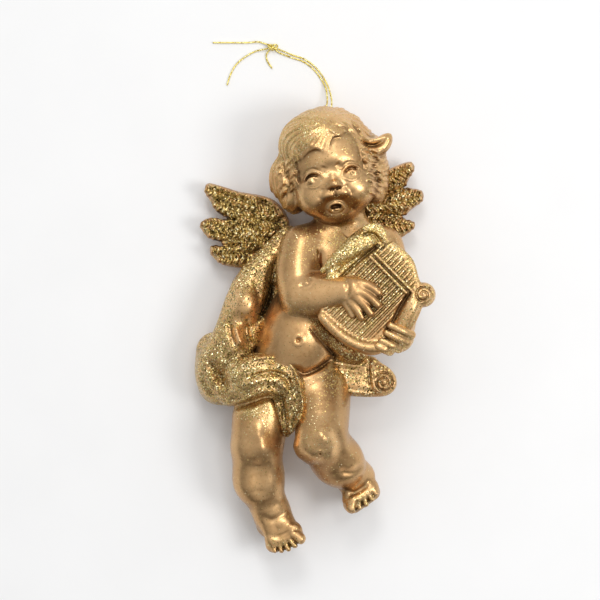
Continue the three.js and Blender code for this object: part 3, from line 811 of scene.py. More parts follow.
def make_thread():
    knot = thread_piece("knot", knot_route(), 4, closed=True)[0]
    short_end = thread_piece("short_end", [KNOT, *SHORT_TAIL])[0]
    finish_piece(knot, "thread", "gold_thread", "thread", "thread_knot")
    finish_piece(short_end, "thread", "gold_thread", "thread", "thread_tail_short")
    strands = (
        ("strand_straight", -1, STRAIGHT_TAIL, "thread_loop_right", "thread_tail_straight",
         (knot, short_end)),
        ("strand_curved", 1, CURVED_TAIL, "thread_loop_left", "thread_tail_curved", ()),
    )
    for name, side, tail, loop_node, tail_node, on_it in strands:
        piece, line = thread_piece(name, [*loop_side(side), KNOT + (0, -0.15 * side, 0), *tail])
        finish_piece(piece, "thread", "gold_thread", "thread", loop_node, tail_node)


make_thread()

# -------------------- the skeleton of the body
body_at = place_of("body")
right_arm_at = place_of("right_arm")
left_arm_at = place_of("left_arm")


def knead_trunk(clay):
    """Chest, belly, hips and the root of the neck."""
    at = body_at
    clay.add([
        egg(at(6.3, 32.9, 10.8), (24, 23, 20), -12), egg(at(3.9, 26.5, 11.6), (20, 20, 20), -12),
        egg(at(-4.1, 0.6, 10.6), (26.5, 18.5, 20.5)),
        taper(at(4.6, 26, 10.4), 10.6, at(-3.6, 4, 10.4), 11),
    ], 3)
    clay.add([egg(at(-1.4, 13.4, 12.8), (19.6, 25.5, 24), -16)], 4)
    clay.add([
        taper(at(-1.2, 36.9, 15.2), 4.7, at(6.4, 40, 14), 4.6),
        taper(at(20.6, 36.9, 12.8), 4.7, at(12, 40.5, 13), 4.6),
    ], 2.4)
    clay.add([egg(at(5.4, 33.6, 17.8), (11, 10, 6), -16), egg(at(14.6, 33.4, 16.4), (11, 10, 6), 10)], 1.6)


def knead_neck(clay):
    at = body_at
    clay.add([taper(at(8.4, 41.5, 13), 5.6, at(7.2, 47, 13.4), 5.2)], 1)


def knead_right_arm(clay):
    at = right_arm_at
    clay.rope(at, [(-7.6, 6.8, 15.6, 5.8), (-8.4, 1.8, 17.4, 6.1), (-8.2, -3.4, 19.4, 6),
                   (-7.4, -6.1, 20.8, 5.8)], 1.5, steps=8)
    clay.rope(at, [(-7.4, -6.3, 21, 5.8), (-3.6, -6, 22.8, 5.9), (0.8, -5.2, 25, 5),
                   (4.4, -4.6, 27.2, 3.9), (5.8, -4.4, 28, 3.5)], 1.2, steps=12)


def knead_left_arm(clay):
    at = left_arm_at
    clay.rope(at, [(0.6, 12, 12.5, 5.7), (3.4, 5, 12.8, 5), (5.4, -1.7, 13, 4.4)], 1.5)
    clay.rope(at, [(5.4, -1.7, 13, 4.4), (5.6, -7.5, 18, 4), (5, -11.4, 23.4, 3.2)], 1.5)


def field_of(clay, *kneads):
    block = clay.like()
    for knead in kneads:
        knead(block)
    return block.field


# -------------------- the body
RIGHT_LEG = {
    "knee_radius": 7, "calf_turn": -20,
    "hip": (-10.9, -1.8, 10.6), "knee": (-12.9, -16.6, 14), "calf": (-12.5, -25.2, 11.4),
    "ankle": (-8.9, -35, 8.2), "heel": (-9.3, -38, 4.2), "big_toe": (-1.5, -41.4, 12.6),
    "little_toe": (-8.1, -44.4, 11.6),
}
LEFT_LEG = {
    "knee_radius": 7.2, "calf_turn": 38,
    "hip": (4.3, -2, 12.2), "knee": (3.9, -14.6, 21), "calf": (8.6, -20.2, 15.4),
    "ankle": (13.7, -25.4, 9.2), "heel": (14.3, -28.4, 4.6), "big_toe": (12.5, -33, 13.4),
    "little_toe": (18.7, -29.2, 12.4),
}
HIP_RADIUS, THIGH_RADIUS, CALF_RADIUS, ANKLE_RADIUS = 8, 7.7, 6.1, 4.7
CALF_SIZE = (13.8, 15, 13)
TOE_RADII = (1.55, 1.12, 1.06, 1.02, 1)  # from the big toe to the little one


def between(a, b, share):
    return np.array(a) + share * (np.array(b) - np.array(a))


def knead_leg(clay, leg):
    hip, knee, calf, ankle, heel, big_toe, little_toe = (
        body_at(*leg[joint]) for joint in ("hip", "knee", "calf", "ankle", "heel", "big_toe", "little_toe"))
    knee_radius = leg["knee_radius"]
    clay.add(rope([(*hip, HIP_RADIUS), (*between(hip, knee, 0.5), THIGH_RADIUS), (*knee, knee_radius)]), 3)
    clay.add([egg(calf, CALF_SIZE, leg["calf_turn"])], 2.4)
    clay.add(rope([(*knee, knee_radius - 0.6), (*calf, CALF_RADIUS), (*ankle, ANKLE_RADIUS)]), 1.6)
    clay.add([
        taper(ankle, ANKLE_RADIUS, heel, 4.1),
        taper(ankle, 4.4, between(ankle, big_toe, 0.8), 2.3),
        taper(ankle, 4.4, between(ankle, little_toe, 0.8), 2.2),
        taper(between(ankle, big_toe, 0.72), 2.9, between(ankle, little_toe, 0.72), 2.6),
        taper(between(heel, big_toe, 0.8), 2.7, between(heel, little_toe, 0.8), 2.4),
    ], 2.2)


def knead_right_leg(clay):
    knead_leg(clay, RIGHT_LEG)


def knead_left_leg(clay):
    knead_leg(clay, LEFT_LEG)


def knead_toes(clay, leg):
    """Five toes in an arc, each with its nail, the clefts between them and a groove behind them."""
    ankle, big_toe, little_toe = (
        np.array(body_at(*leg[joint])) for joint in ("ankle", "big_toe", "little_toe"))
    beside = (little_toe - big_toe) / np.linalg.norm(little_toe - big_toe)
    width = 2 * sum(TOE_RADII) - TOE_RADII[0] - TOE_RADII[-1]
    travelled, clefts = 0, []
    for radius, following in zip(TOE_RADII, (*TOE_RADII[1:], TOE_RADII[-1])):
        share = travelled / width
        tip = between(big_toe, little_toe, share)
        out = tip - ankle
        out[2] = 0
        out /= np.linalg.norm(out)
        tip = tip + math.sin(math.pi * share) * out + (0, 0, 0.3)
        clay.add([taper(tip - 2.6 * out + (0, 0, 0.3), 0.9 * radius, tip - 0.3 * out, radius),
                  egg(tip, (2.2 * radius, 2.2 * radius, 2.2 * radius))], 0.2)
        clay.add([egg(tip + 0.3 * out + (0, 0, 0.9 * radius), (1.2 * radius, 1.2 * radius, 0.7))], 0.1)
        cleft = tip + radius * beside
        clefts.append([cleft - 1.1 * out, cleft + 0.35 * out, cleft + 1.8 * out])
        travelled += radius + following
    for cleft in clefts[:-1]:
        clay.stroke(cleft, 0.3, -0.55, above=big_toe[2] - 1.5, ends=0.12)
    behind = [toe - 3.0 * out for toe in (big_toe, between(big_toe, little_toe, 0.5), little_toe)]
    clay.stroke(behind, 0.7, -0.5, above=big_toe[2] - 1)


def press_dimple(clay, at, size, depth):
    """A round dimple with a faint rim, seen from the front."""
    x, y, _ = at
    reach = 3 * size

    def height(u, v, w):
        away = np.hypot(u - x, v - y)
        rim = 0.35 * np.exp(-((away - size) / (0.45 * size)) ** 2)
        return depth * (rim - np.exp(-(away / (0.55 * size)) ** 2)) * ramp(w, 8, 12)

    clay.ripple(height, (x - reach, y - reach, 6), (x + reach, y + reach, BEYOND))


def make_body():
    at = body_at
    clay = block_for("body", step=0.42)
    knead_trunk(clay)
    knead_right_leg(clay)
    knead_left_leg(clay)
    clay.share_of(field_of(clay, knead_right_arm, knead_left_arm), 2)
    # a strip of the cloth, between the belly and the lyre
    clay.rope(at, [(0.4, 18.6, 20.4, 1.8), (3.6, 15.2, 19.8, 2.3), (6.6, 12, 18.4, 2.8), (10, 9.4, 16.8, 3.2),
                   (13.6, 8.2, 14.6, 3.2)], 0.6, steps=5)
    knead_neck(clay)
    knead_toes(clay, RIGHT_LEG)
    knead_toes(clay, LEFT_LEG)
    press_dimple(clay, at(-1.8, 11.9), 1.1, 0.8)  # navel
    press_dimple(clay, at(3.9, -17.9), 0.7, 0.8)
    clay.strokes(at, (
        (0.7, -1.5, (-3.4, 4.6), (-0.6, 3), (1.8, 3.6), (4.7, 5.2), (7.2, 7.6)),  # groin
        (0.8, -0.7, (-8, 2), (-3.4, 4.2), (0, 3.6)),
        (1.2, -0.7, (-6.5, 21.5), (-1, 23.6), (5, 22)),  # under the ribs
        (0.5, -0.8, (1, 15.8), (3.8, 12.2), (6.8, 9), (10.2, 6.4)),  # along the strip of cloth
        (0.5, 0.4, (3, 17), (6.4, 13.4), (10, 10.6)),
        (0.8, -0.9, (3.7, 36), (3.6, 33), (4, 29.5)),  # between the breasts
        (1.9, -1, (-12.9, -19), (-12.7, -25), (-12.3, -31)),  # beside the shin
        # under the hem
        (1, -1.5, (-19, -6.4), (-15, -5), (-11.5, -3.6), (-9, -3.2), (-7.3, -5.2), (-6, -8.2)),
        # the feet
        (0.7, -0.4, (-10.6, -40.4), (-6.8, -41), (-3.6, -39.4)),
        (0.9, -0.5, (-11.6, -35.4), (-8.4, -36.4), (-4.6, -34.6)),  # round the ankle
        (0.9, -0.6, (9, -22.6), (12, -23.2), (15.6, -21.6)),
        (0.8, -0.5, (10.8, -28.2), (13.8, -29), (17.4, -26.4)),
        (1.3, -1, (-5, -5), (-3.6, -10), (-3.2, -16)),  # between the thighs
        (1.6, -0.6, (7.4, -10.8), (9, -15.4), (8.6, -19.6)),
        (1.2, -0.5, (-1.6, -18), (1.6, -20.6), (5.6, -20.4)),
    ), above=9)
    # kneecaps
    for x, y, height in ((-12.2, -13.4, 0.9), (4.6, -13.4, 0.8), (-11.6, -16.8, 0.7), (1.2, -17.2, 0.5)):
        u, v, _ = at(x, y)
        clay.ripple(lambda a, b, c: height * np.exp(-((a - u) ** 2 + (b - v) ** 2) / 5) * ramp(c, 8, 13),
                    (u - 7, v - 7, 6), (u + 7, v + 7, BEYOND))
    clay.flatten()

    def on_strip(x, y, middle, half, start, total):
        """1 on the strip of cloth, and 0 beside it."""
        away = np.abs(y - middle + 0.85 * (x - 6))
        ends = ramp(x, start, start + 2) * ramp(x + y, total, total + 2.5)
        return (1 - ramp(away, half, half + 1.4)) * ends

    def dusting(x, y, z, normals):
        lap = np.exp(-((x + 9) ** 2 / 60 + (y + 4) ** 2 / 30))
        side = np.exp(-((x - 8.5) ** 2 / 8 + (y - 3) ** 2 / 20))
        shoulder = np.exp(-((x - 10) ** 2 / 30 + (y - 38) ** 2 / 14))
        knees = np.exp(-((x - 3) ** 2 + (y + 16) ** 2) / 40)
        right_toes = np.exp(-((x + 4.8) ** 2 / 18 + (y + 43) ** 2 / 3))
        left_toes = np.exp(-((x - 15.6) ** 2 / 14 + (y + 31.2) ** 2 / 6))
        below_hem = np.exp(-((x + 14.5) ** 2 / 12 + (y + 7.2) ** 2 / 3))
        dust = (0.03 + 0.6 * below_hem + 0.35 * lap + 0.5 * side + 0.3 * on_strip(x, y, 13.4, 3, -0.5, 15)
                + 0.4 * shoulder + 0.1 * knees + 0.45 * (right_toes + left_toes))
        return np.clip(dust, 0, 1) * ramp(normals[:, 2], -0.4, 0.3)

    def painted_shade(x, y, z):
        # painted shade over the upper chest, and on the strip of cloth under the edge of the lyre
        chest = 0.25 * ramp(y, 24, 30)
        return np.maximum(chest, 0.95 * on_strip(x, y, 13, 2.6, 0, 14.5))

    cast("cherub_body", "body", clay, at, "skin", dusting, painted_shade)


# -------------------- the arms and hands
def make_right_arm():
    at = right_arm_at
    clay = block_for("right_arm", step=0.28)
    knead_right_arm(clay)
    clay.share_of(field_of(clay, knead_trunk, knead_neck), 2)
    clay.add([egg(at(6.6, -4.9, 28.6), (7.4, 6.6, 4.2), -25), egg(at(8.4, -6.2, 28.9), (5.5, 6, 3.4), -40)],
             1.2)
    for stations in (
        [(7.6, -2.9, 29.4, 1.45), (10.2, -3.6, 29.6, 1.35), (12.4, -5.2, 29.4, 1.15)],
        [(7.8, -4.8, 29.7, 1.4), (10.2, -6.4, 29.8, 1.3), (12.2, -8.4, 29.5, 1.15)],
        [(7, -6.6, 29.6, 1.4), (8.9, -8.6, 29.6, 1.25), (10.4, -10.6, 29.3, 1.1)],
        [(5.2, -7.6, 29.1, 1.3), (6.8, -9.6, 29.2, 1.2), (8, -11.8, 28.9, 1.05)],
        [(3.6, -7.4, 28.4, 1.2), (4.7, -9.4, 28.5, 1.1), (5.6, -11.2, 28.3, 0.95)],
    ):
        clay.rope(at, stations, 0.5, steps=6)
    clay.strokes(at, (
        (0.8, -0.5, (-5.2, -1.2), (-5.9, -3.2), (-8.6, -3.6)),
        (0.7, -0.55, (4, -1.2), (4.6, -4), (4, -7)),  # wrist
        (0.8, -0.3, (-2.6, -0.8), (0.6, -1.2), (3.8, -1.4)),
    ), above=16)

    def dusting(x, y, z, normals):
        underside = ramp(-normals[:, 1] - normals[:, 0], 0.3, 1.2)
        return 0.03 + 0.10 * ramp(y, 0, 6) + 0.25 * underside

    def painted_shade(x, y, z):
        # painted shade over the upper arm, and on the fingers in the shadow of the hand
        upper_arm, fingers = ramp(y, -4, 2), ramp(x - 0.3 * y, 9, 12)
        return 0.32 * upper_arm + 0.45 * fingers

    cast("right_arm_and_hand", "right_arm", clay, at, "skin", dusting, painted_shade)


def make_left_arm():
    at = left_arm_at
    clay = block_for("left_arm", step=0.28)
    knead_left_arm(clay)
    clay.share_of(field_of(clay, knead_trunk, knead_neck), 2)
    clay.add([egg(at(4.8, -12.2, 25.2), (8, 7.4, 6.5), 35),
              egg(at(3.2, -12.4, 26.8), (8.4, 5.6, 3.6), 38)], 1.2)
    for root, tip in (((7.8, -11.3), (2.4, -8.9)), ((6.7, -13.3), (1.4, -10.9)), ((4.5, -14.9), (0, -12.9)),
                      ((2.2, -15.6), (-1.1, -14.3))):
        root, tip = at(*root, 26.8), at(*tip, 28.6)
        middle = between(root, tip, 0.5)
        clay.add(rope([(*root, 1.3), (middle[0], middle[1], middle[2] + 0.8, 1.2), (*tip, 1)], 5), 0.3)

    def dusting(x, y, z, normals):
        return 0.12 + 0.25 * ramp(-normals[:, 1], -0.2, 0.8)

    cast("left_arm_and_hand", "left_arm", clay, at, "skin", dusting)


# -------------------- the head
FACE_TURN = 10  # degrees
HEAD_CENTRE = (-0.5, 14.7, 13.6)  # across from the middle of the node's box, below the crown, above the floor


def head_place():
    """The face's own axes: across it, up it and out of it."""
    low, high = box_of("head")
    across, below_crown, above_floor = HEAD_CENTRE
    return Place(((low[0] + high[0]) / 2 + across, high[1] - below_crown, above_floor), FACE_TURN)


def hair_waves(at):
    """Locks and strands that fall from a whorl on the crown."""
    whorl = np.array([2, 8.5, 9.5])
    whorl = whorl / np.linalg.norm(whorl)
    side = np.cross(whorl, (1, 0, 0))
    side /= np.linalg.norm(side)
    other = np.cross(whorl, side)

    def height(x, y, z):
        x, y, z = x - at.centre[0], y - at.centre[1], z - at.centre[2]
        local = [at.axes[0, i] * x + at.axes[1, i] * y + at.axes[2, i] * z for i in range(3)]
        away = np.sqrt(sum(a * a for a in local)) + 1e-6
        a, b, c = (sum(axis[i] * local[i] for i in range(3)) for axis in (side, other, whorl))
        fall = np.arccos(np.clip(c / away, -1, 1))
        round_angle = np.arctan2(b, a) + 0.55 * np.sin(2.4 * fall) + 0.12 * np.sin(5 * fall + 2)
        locks = np.sin(13 * round_angle + 1.5 * np.sin(3.1 * fall))
        strands = np.sin(41 * round_angle + 2.2 * np.sin(2.3 * fall + 1))
        fine = np.sin(83 * round_angle + 3 * fall)
        return (0.16 * locks + 0.12 * strands + 0.05 * fine) * ramp(fall, 0.1, 0.7)

    return height


TUFT = ((7.6, 5), (10.6, 3.6), (13.2, 3.5), (15.6, 4.2), (17.3, 4), (17.6, 2.4), (16.6, 0.4), (14.6, -1),
        (12.2, -1.2), (10.2, 0), (7.6, 0.6))
HAIRLINE = (
    (-9.6, -14), (-9.5, -8), (-9.4, -3.5), (-9.3, 0.2), (-8.2, 1), (-6.6, 1.6), (-4.8, 2.7), (-2.4, 2.9),
    (-0.7, 1.7), (0.5, 3.6), (1.9, 5.3), (3.6, 5.4), (5.4, 6.2), (7.2, 5.6), (8.4, 3), (9, -0.6), (9.3, -4.6),
    (9.2, -8.8), (8.6, -12.6), (5, -18), (-5, -18),
)


def make_head():
    at = head_place()
    depth = at.centre[2]
    clay = block_for("head", step=0.25, spare=0.6)

    def ball(u, v, w, *size, turn=0, tilt=0):
        return egg(at(u, v, w), size, FACE_TURN + turn, tilt)

    # the cap of hair
    clay.add([ball(0, 0.2, 0, 26.4, 28.8, 27.4), ball(-1.2, 4.4, 2.4, 23, 19.4, 23.4)], 2)
    clay.add([ball(-12.6, -3.4, -0.6, 8.2, 12.4, 14), ball(-11.2, -8.2, -0.4, 7, 8.6, 12),
              ball(12.2, -3.2, -1.4, 6.8, 17, 13), ball(10.8, -9, -1, 6, 9, 11)], 1.8)
    clay.ripple(hair_waves(at))
    # a lock that stands out beside the head like a cat's ear, over a rolled lower edge
    tuft = closed_line([at(*p)[:2] for p in TUFT], 3)
    clay.add([slab(tuft, depth + 1.5, depth + 7.4, 1.6)], 0.8)
    clay.rope(at, [(9.6, 1.6, 6.6, 0.8), (12, 0.1, 7.2, 1), (14.6, 0.5, 7.2, 1), (16.4, 2.4, 7, 0.8)], 0.5)
    # the face shows where the hair is cut back
    hairline = closed_line([at(*p)[:2] for p in HAIRLINE], 3)
    clay.carve([slab(hairline, depth + 1, depth + 30, 0.2)], 0.3)
    clay.add([ball(0.2, -0.4, 2.8, 22.4, 25.4, 22.6), ball(0.3, -5.2, 3, 21, 23, 21.4)], 1)
    clay.add([ball(-5.2, -9.4, 6.6, 9.6, 9.4, 11), ball(5.8, -8.9, 6.6, 9.6, 9.4, 11),
              ball(-0.6, -14, 5.4, 8.6, 5.2, 9.6)], 2.6)  # cheeks and chin
    # eye hollows, nose and the lip above the mouth
    clay.carve([ball(-5, -3.4, 17, 6.4, 4.6, 7.2), ball(4.9, -3.3, 17, 6.4, 4.6, 7.2),
                ball(-0.1, -3.1, 16.6, 5.4, 3.6, 6.8)], 2)
    clay.add([taper(at(0, -4.4, 12.3), 0.7, at(0, -6.4, 13.2), 1), ball(0.1, -6.9, 13.5, 2.7, 2.3, 3)], 1)
    clay.add([ball(-1.3, -7.4, 12.9, 1.6, 1.4, 2.2), ball(1.4, -7.4, 12.9, 1.6, 1.4, 2.2)], 0.5)
    clay.add([ball(-2, -9.7, 11.4, 4.6, 2.4, 3.6, turn=-14), ball(1.8, -9.6, 11.4, 4.8, 2.6, 3.6, turn=14)],
             1)
    # the face falls back round the mouth, under the lip and the cheeks
    clay.carve([ball(-0.3, -13.2, 14.4, 12.6, 6, 9.8, tilt=-24)], 1.2)
    # eyeballs between their lids
    clay.add([ball(-5.1, -4.8, 10.5, 5, 3.5, 4.4), ball(5, -4.6, 10.5, 5, 3.5, 4.4)], 0.3)
    # mouth
    ring = [at(-0.5 + 1.8 * math.cos(t), -12.9 + 1.1 * math.sin(t), 10.4 + 0.9 * math.sin(t), 0.58)
            for t in np.linspace(0, 2 * math.pi, 17)]
    clay.add([taper(a[:3], a[3], b[:3], b[3]) for a, b in zip(ring, ring[1:])], 0.35)
    clay.carve([ball(-0.5, -12.8, 11, 2.9, 1.3, 3.6)], 0.2)
    clay.add([ball(-0.5, -13.5, 9.6, 2.2, 0.9, 2)], 0.2)
    # neck
    clay.rope(at, [(0.8, -11, 0.6, 5.6), (2, -17.5, -0.2, 5.4), (3.4, -22.4, -1, 5.6)], 1.6)
    clay.share_of(field_of(clay, knead_trunk), 1.6)
    clay.strokes(at, (
        # the right eye: lid, shadow under it, lower lid, crease above
        (0.26, 0.38, (-8, -5.6), (-7.2, -3.9), (-5.4, -2.9), (-3.5, -3.4), (-2.5, -4.9)),
        (0.3, -0.6, (-7.4, -5), (-6.4, -4), (-5, -3.7), (-3.4, -4.3)),
        (0.3, 0.28, (-7.6, -5.8), (-6.2, -6.8), (-4.4, -6.9), (-2.9, -5.8)),
        (0.42, -0.4, (-5.4, -4.5), (-5, -5), (-4.9, -5.5)),
        (0.3, -0.22, (-7.6, -3.6), (-6.4, -2.3), (-4.8, -2), (-3.2, -2.8)),
        # the left eye
        (0.26, 0.38, (2.4, -5.2), (3.2, -3.6), (5, -2.7), (7, -3.3), (8, -4.8)),
        (0.32, -0.7, (3.2, -4.8), (4.2, -3.8), (5.4, -3.6), (6.9, -4.3)),
        (0.3, 0.28, (2.8, -5.6), (4.2, -6.6), (6, -6.6), (7.5, -5.4)),
        (0.42, -0.45, (4.9, -4.3), (5.2, -4.8), (5.3, -5.3)),
        (0.3, -0.22, (2.7, -3.2), (4.2, -2), (6, -2.1), (7.6, -3.2)),
        (0.8, -0.45, (1.5, -1.6), (2.3, -2.6), (2.6, -3.6)),
        (0.8, -0.35, (-1.7, -1.8), (-2.4, -2.9), (-2.6, -3.8)),
        # nostrils, the furrow under the nose, the upper lip
        (0.28, -0.8, (-1.4, -8.3), (-0.7, -8.1), (-0.1, -8.4)),
        (0.28, -0.8, (0.2, -8.4), (0.8, -8.1), (1.5, -8.3)),
        (0.35, -0.3, (-0.1, -8.6), (-0.2, -10.4)),
        (0.7, -0.3, (-3, -7.4), (-3.6, -9), (-4.6, -10.6)),
        (0.7, -0.3, (2.9, -7.4), (3.6, -9), (4.8, -10.6)),
    ), above=depth + 5, ends=0.2)
    clay.strokes(at, (
        # the fringe
        (0.6, 0.3, (-5.6, 5.4), (-4.2, 4), (-2.4, 3.2), (-0.7, 1.9)),
        (0.5, 0.5, (1, 8), (2.2, 6.7), (3.8, 5.8)),
        (0.45, 0.4, (3, 9.2), (4.6, 8.2), (6.4, 6.8)),
        (0.45, 0.45, (5.4, 9.4), (7.2, 7.6), (8.4, 5.6)),
        (0.45, 0.45, (8.2, 9), (9.4, 6.8), (10, 4.6)),
        (0.35, -0.4, (4, 8), (5.6, 7), (7, 5.6)),
        (0.35, -0.4, (6.8, 8.4), (8.4, 6.4), (9.2, 4.4)),
        (0.5, 0.35, (-8.6, 5.2), (-8.6, 3), (-7.4, 1.6)),
        (0.6, 0.4, (8.9, 2.6), (9.5, 0.6), (9.4, -1.6), (9.6, -3.8), (9.4, -6.2)),
        (0.6, 0.4, (-9.9, 1.4), (-10.3, -0.8), (-9.9, -3), (-10.1, -5.4), (-9.8, -7.8)),
        # the tuft's cleft
        (0.5, -1.3, (8.8, 3.4), (10.6, 2), (12.8, 1.6), (14.8, 2.2)),
        (0.4, 0.35, (9.8, 4.2), (12.6, 3), (15.6, 3.6)),
    ), above=depth - 4, fade=3, ends=0.4)
    # short curls beside the face, one above another
    for side, across, top, count in ((1, 9.6, 1.2, 8), (1, 11.6, 0.2, 6), (-1, 10.4, 1, 5),
                                     (-1, 12.6, 0.8, 5)):
        for i in range(count):
            u, v = across + 0.5 * math.sin(2.3 * i), top - 1.75 * i
            curl = [at(side * (u - 0.7), v + 0.5), at(side * (u + 0.6), v), at(side * (u + 1.7), v - 1.2)]
            clay.stroke(curl, 0.45, 0.62, above=depth - 4, fade=3, ends=0.4)
    clay.flatten()

    def dusting(u, v, w, normals):
        hair = np.hypot(u / 9.2, (v + 4) / 9.5) > 1
        crown = ramp(4 - u, 0, 8) * ramp(v, -3, 4)
        return np.where(hair, 0.15 + 0.30 * crown, 0.05) * ramp(normals[:, 2], -0.5, 0.2)

    def painted_shade(u, v, w):
        # painted shade in the hollow round the mouth, kept off the lips
        patch = 1 - ramp(np.hypot((u + 0.2) / 6.6, (v + 12.6) / 3.4), 0.75, 1.05)
        lips = 1 - ramp(np.hypot((u + 0.5) / 2.9, (v + 12.9) / 2.1), 0.85, 1.1)
        return 0.85 * patch * (1 - lips) * ramp(w, 4, 7)

    cast("cherub_head", "head", clay, at, "skin", dusting, painted_shade)


# -------------------- the lyre
LYRE_TURN = -45  # degrees: the strings run to the upper right
LYRE_BACK, LYRE_FRONT = 20.4, 28.0
LYRE_OFF_CENTRE = (1.2, 0.8)  # from the middle of the strings to the middle of the node's box
STRING_PITCH = 1.25


def lyre_place():
    """The lyre's own axes: across the strings, along them and out of the board."""
    low, high = box_of("lyre")
    return Place((*(low + high)[:2] / 2 - LYRE_OFF_CENTRE, 0), LYRE_TURN)


LYRE_OUTLINE = (
    (-11.8, -4), (-12.2, 3), (-12.4, 8.5), (-11.2, 12.2), (-7.6, 13.6), (-3, 14.6), (1.8, 14.6), (6.4, 12.2),
    (10.4, 10.4), (12.8, 6.4), (14.4, 1.6), (14.4, -3.2), (13.2, -8.6), (11, -11.6), (6.4, -13.2),
    (0.4, -14.3), (-4.9, -13.8), (-6.8, -11.2), (-8.8, -7.6),
)


def make_lyre():
    at = lyre_place()
    clay = block_for("lyre", step=0.24, spare=2.6)
    board = closed_line([at(*p) for p in LYRE_OUTLINE])
    clay.add([slab(board, LYRE_BACK, LYRE_FRONT, 0.9)])
    # the raised rim of the sound box, below and to the right
    clay.rope(at, [(-4.4, -13, 27.8, 1), (2.6, -12.8, 28, 1.3), (7.6, -11.4, 28, 1.4),
                   (11.4, -8.4, 27.8, 1.3), (12.2, -5.4, 27.4, 1)], 1.2, steps=5)
    # the horn on the left, with its curl at the upper corner
    clay.rope(at, [(-13, -4.2, 26.6, 0.8), (-12.6, -0.6, 27, 1.6), (-12.1, 2.6, 27, 2.4),
                   (-11.4, 5.8, 26.6, 3.1), (-10.8, 8.6, 26.2, 3.5), (-10, 11.6, 25.6, 3.6)], 0.6, steps=6)
    end = [at(*p) for p in ((-16, 10.6), (-12.2, 11), (-8.4, 11.2), (-6.2, 10.2), (-5.2, 16.5), (-16, 17))]
    clay.carve([slab(np.array(end)[:, :2], 26.6, 34, 0.1)], 0.3)
    # the arm on the right that ends in a scroll
    clay.rope(at, [(12.6, -3.4, 25.6, 1.8), (12.2, -0.6, 26.6, 2), (11.2, 2.6, 27.2, 2.2),
                   (9.9, 5.8, 27.4, 2.3), (8.9, 8.8, 27, 2.1)], 0.5, steps=6)
    clay.add([egg(at(10.2, 10, 25.6), (6.6, 6.6, 7.4))], 0.6)
    # strings over the bar
    for i in range(-6, 8):
        a = i * STRING_PITCH - 0.4
        top = 13.4 - 0.05 * (a + 1) ** 2
        bottom = -12.2 + 0.10 * max(0, a - 3) ** 2 + 0.12 * min(0, a + 2) ** 2
        clay.add([taper(at(a, bottom, 28), 0.36, at(a, 7.2, 28.25), 0.36),
                  taper(at(a, 8.6, 28.25), 0.36, at(a, top, 27.9), 0.34)], 0.22)
    clay.add([taper(at(-7.9, 8.6, 28.5), 0.5, at(7.6, 8.5, 28.5), 0.5),
              taper(at(-7.9, 7.2, 28.4), 0.5, at(7.2, 7.1, 28.4), 0.5)], 0.15)
    clay.strokes(at, (
        (0.5, -1.2, (-8.4, -3.6), (-8.3, 2), (-7.9, 6.6), (-7.5, 11)),  # inside the horn
        (0.4, -0.5, (-10.2, -3), (-9.6, 2), (-9, 7)),
        (0.35, 0.4, (-13.4, 7.4), (-11.6, 12.4), (-7.6, 13.2)),
        (0.4, -0.7, (-12.6, 9.4), (-10.4, 12), (-7.2, 11.8)),
        (0.5, -1.3, (7.2, 7.6), (8.2, 3.2), (9.6, -1), (10.2, -4.4)),  # between the box and the arm
    ), above=23, ends=0.15)
    scroll = []
    for t in np.linspace(0, 3.4 * math.pi, 22):
        radius = 2.4 * (1 - t / (3.9 * math.pi))
        scroll.append(at(10.1 + radius * math.cos(t + 0.6), 9.9 + radius * math.sin(t + 0.6)))
    clay.stroke(scroll, 0.34, -0.6, above=24, ends=0.1)

    def dusting(a, b, z, normals):
        horn = ramp(-a, 7.8, 8.8)
        arm = ramp(a, 8.6, 9.6) * ramp(b, -3, 0)
        rim = ramp(-b, 8, 12) + ramp(a, 6.2, 7.4) * (1 - arm)
        return np.clip(0.55 + 0.30 * horn - 0.25 * arm - 0.38 * rim, 0.10, 1)

    cast("lyre_board", "lyre", clay, at, "strings", dusting)


# -------------------- the wings
FEATHER_HEIGHT = 2.3


def feather(clay, base, tip, width, barbs):
    """A rounded feather lying on the wing, with a quill and a ridged barb every few millimetres."""
    base, tip = np.array(base, float), np.array(tip, float)
    along = tip - base
    length = np.linalg.norm(along[:2])
    turn = math.degrees(math.atan2(along[1], along[0]))
    clay.add([egg((base + tip) / 2, (length, width, FEATHER_HEIGHT), turn)], 0.3)
    forward = along[:2] / length
    aside = np.array([-forward[1], forward[0]])
    clay.stroke([base[:2] + 0.1 * along[:2], tip[:2] - 0.12 * along[:2]], 0.3, -0.35, above=3, ends=0.1)
    for i in range(int(length / barbs)):
        root = base[:2] + forward * (i + 0.7) * barbs
        for side in (-1, 1):
            end = root + forward * 0.30 * width + aside * side * 0.42 * width
            clay.stroke([root, end], 0.24 * barbs, 0.42 * barbs, above=3, ends=0.12)


def make_wing(node, outline, feathers, barbs, edge):
    """The clay of a wing, where it is, and how far inside its outline a place on it is."""
    at = place_of(node)
    low, high = box_of(node)
    clay = block_for(node, step=0.25, spare=0.8)
    outline = closed_line([at(*p) for p in outline])
    bottom, top = low[2] + 0.3, high[2] - 1.5
    clay.add([slab(outline[:, :2], bottom, lambda x, y, inside: top - 0.7 * np.exp(-inside / 1.2), 0.9)])
    for base, tip, width, lift in feathers:
        feather(clay, at(*base, top + lift - 0.7), at(*tip, top + lift - 0.9), width, barbs)
    clay.strokes(at, edge, above=3, ends=0.15)
    clay.trim(outline, 1.2)

    def inside(x, y):
        return -outline_distance(outline[:, :2], x + at.centre[0], y + at.centre[1])

    return clay, at, inside


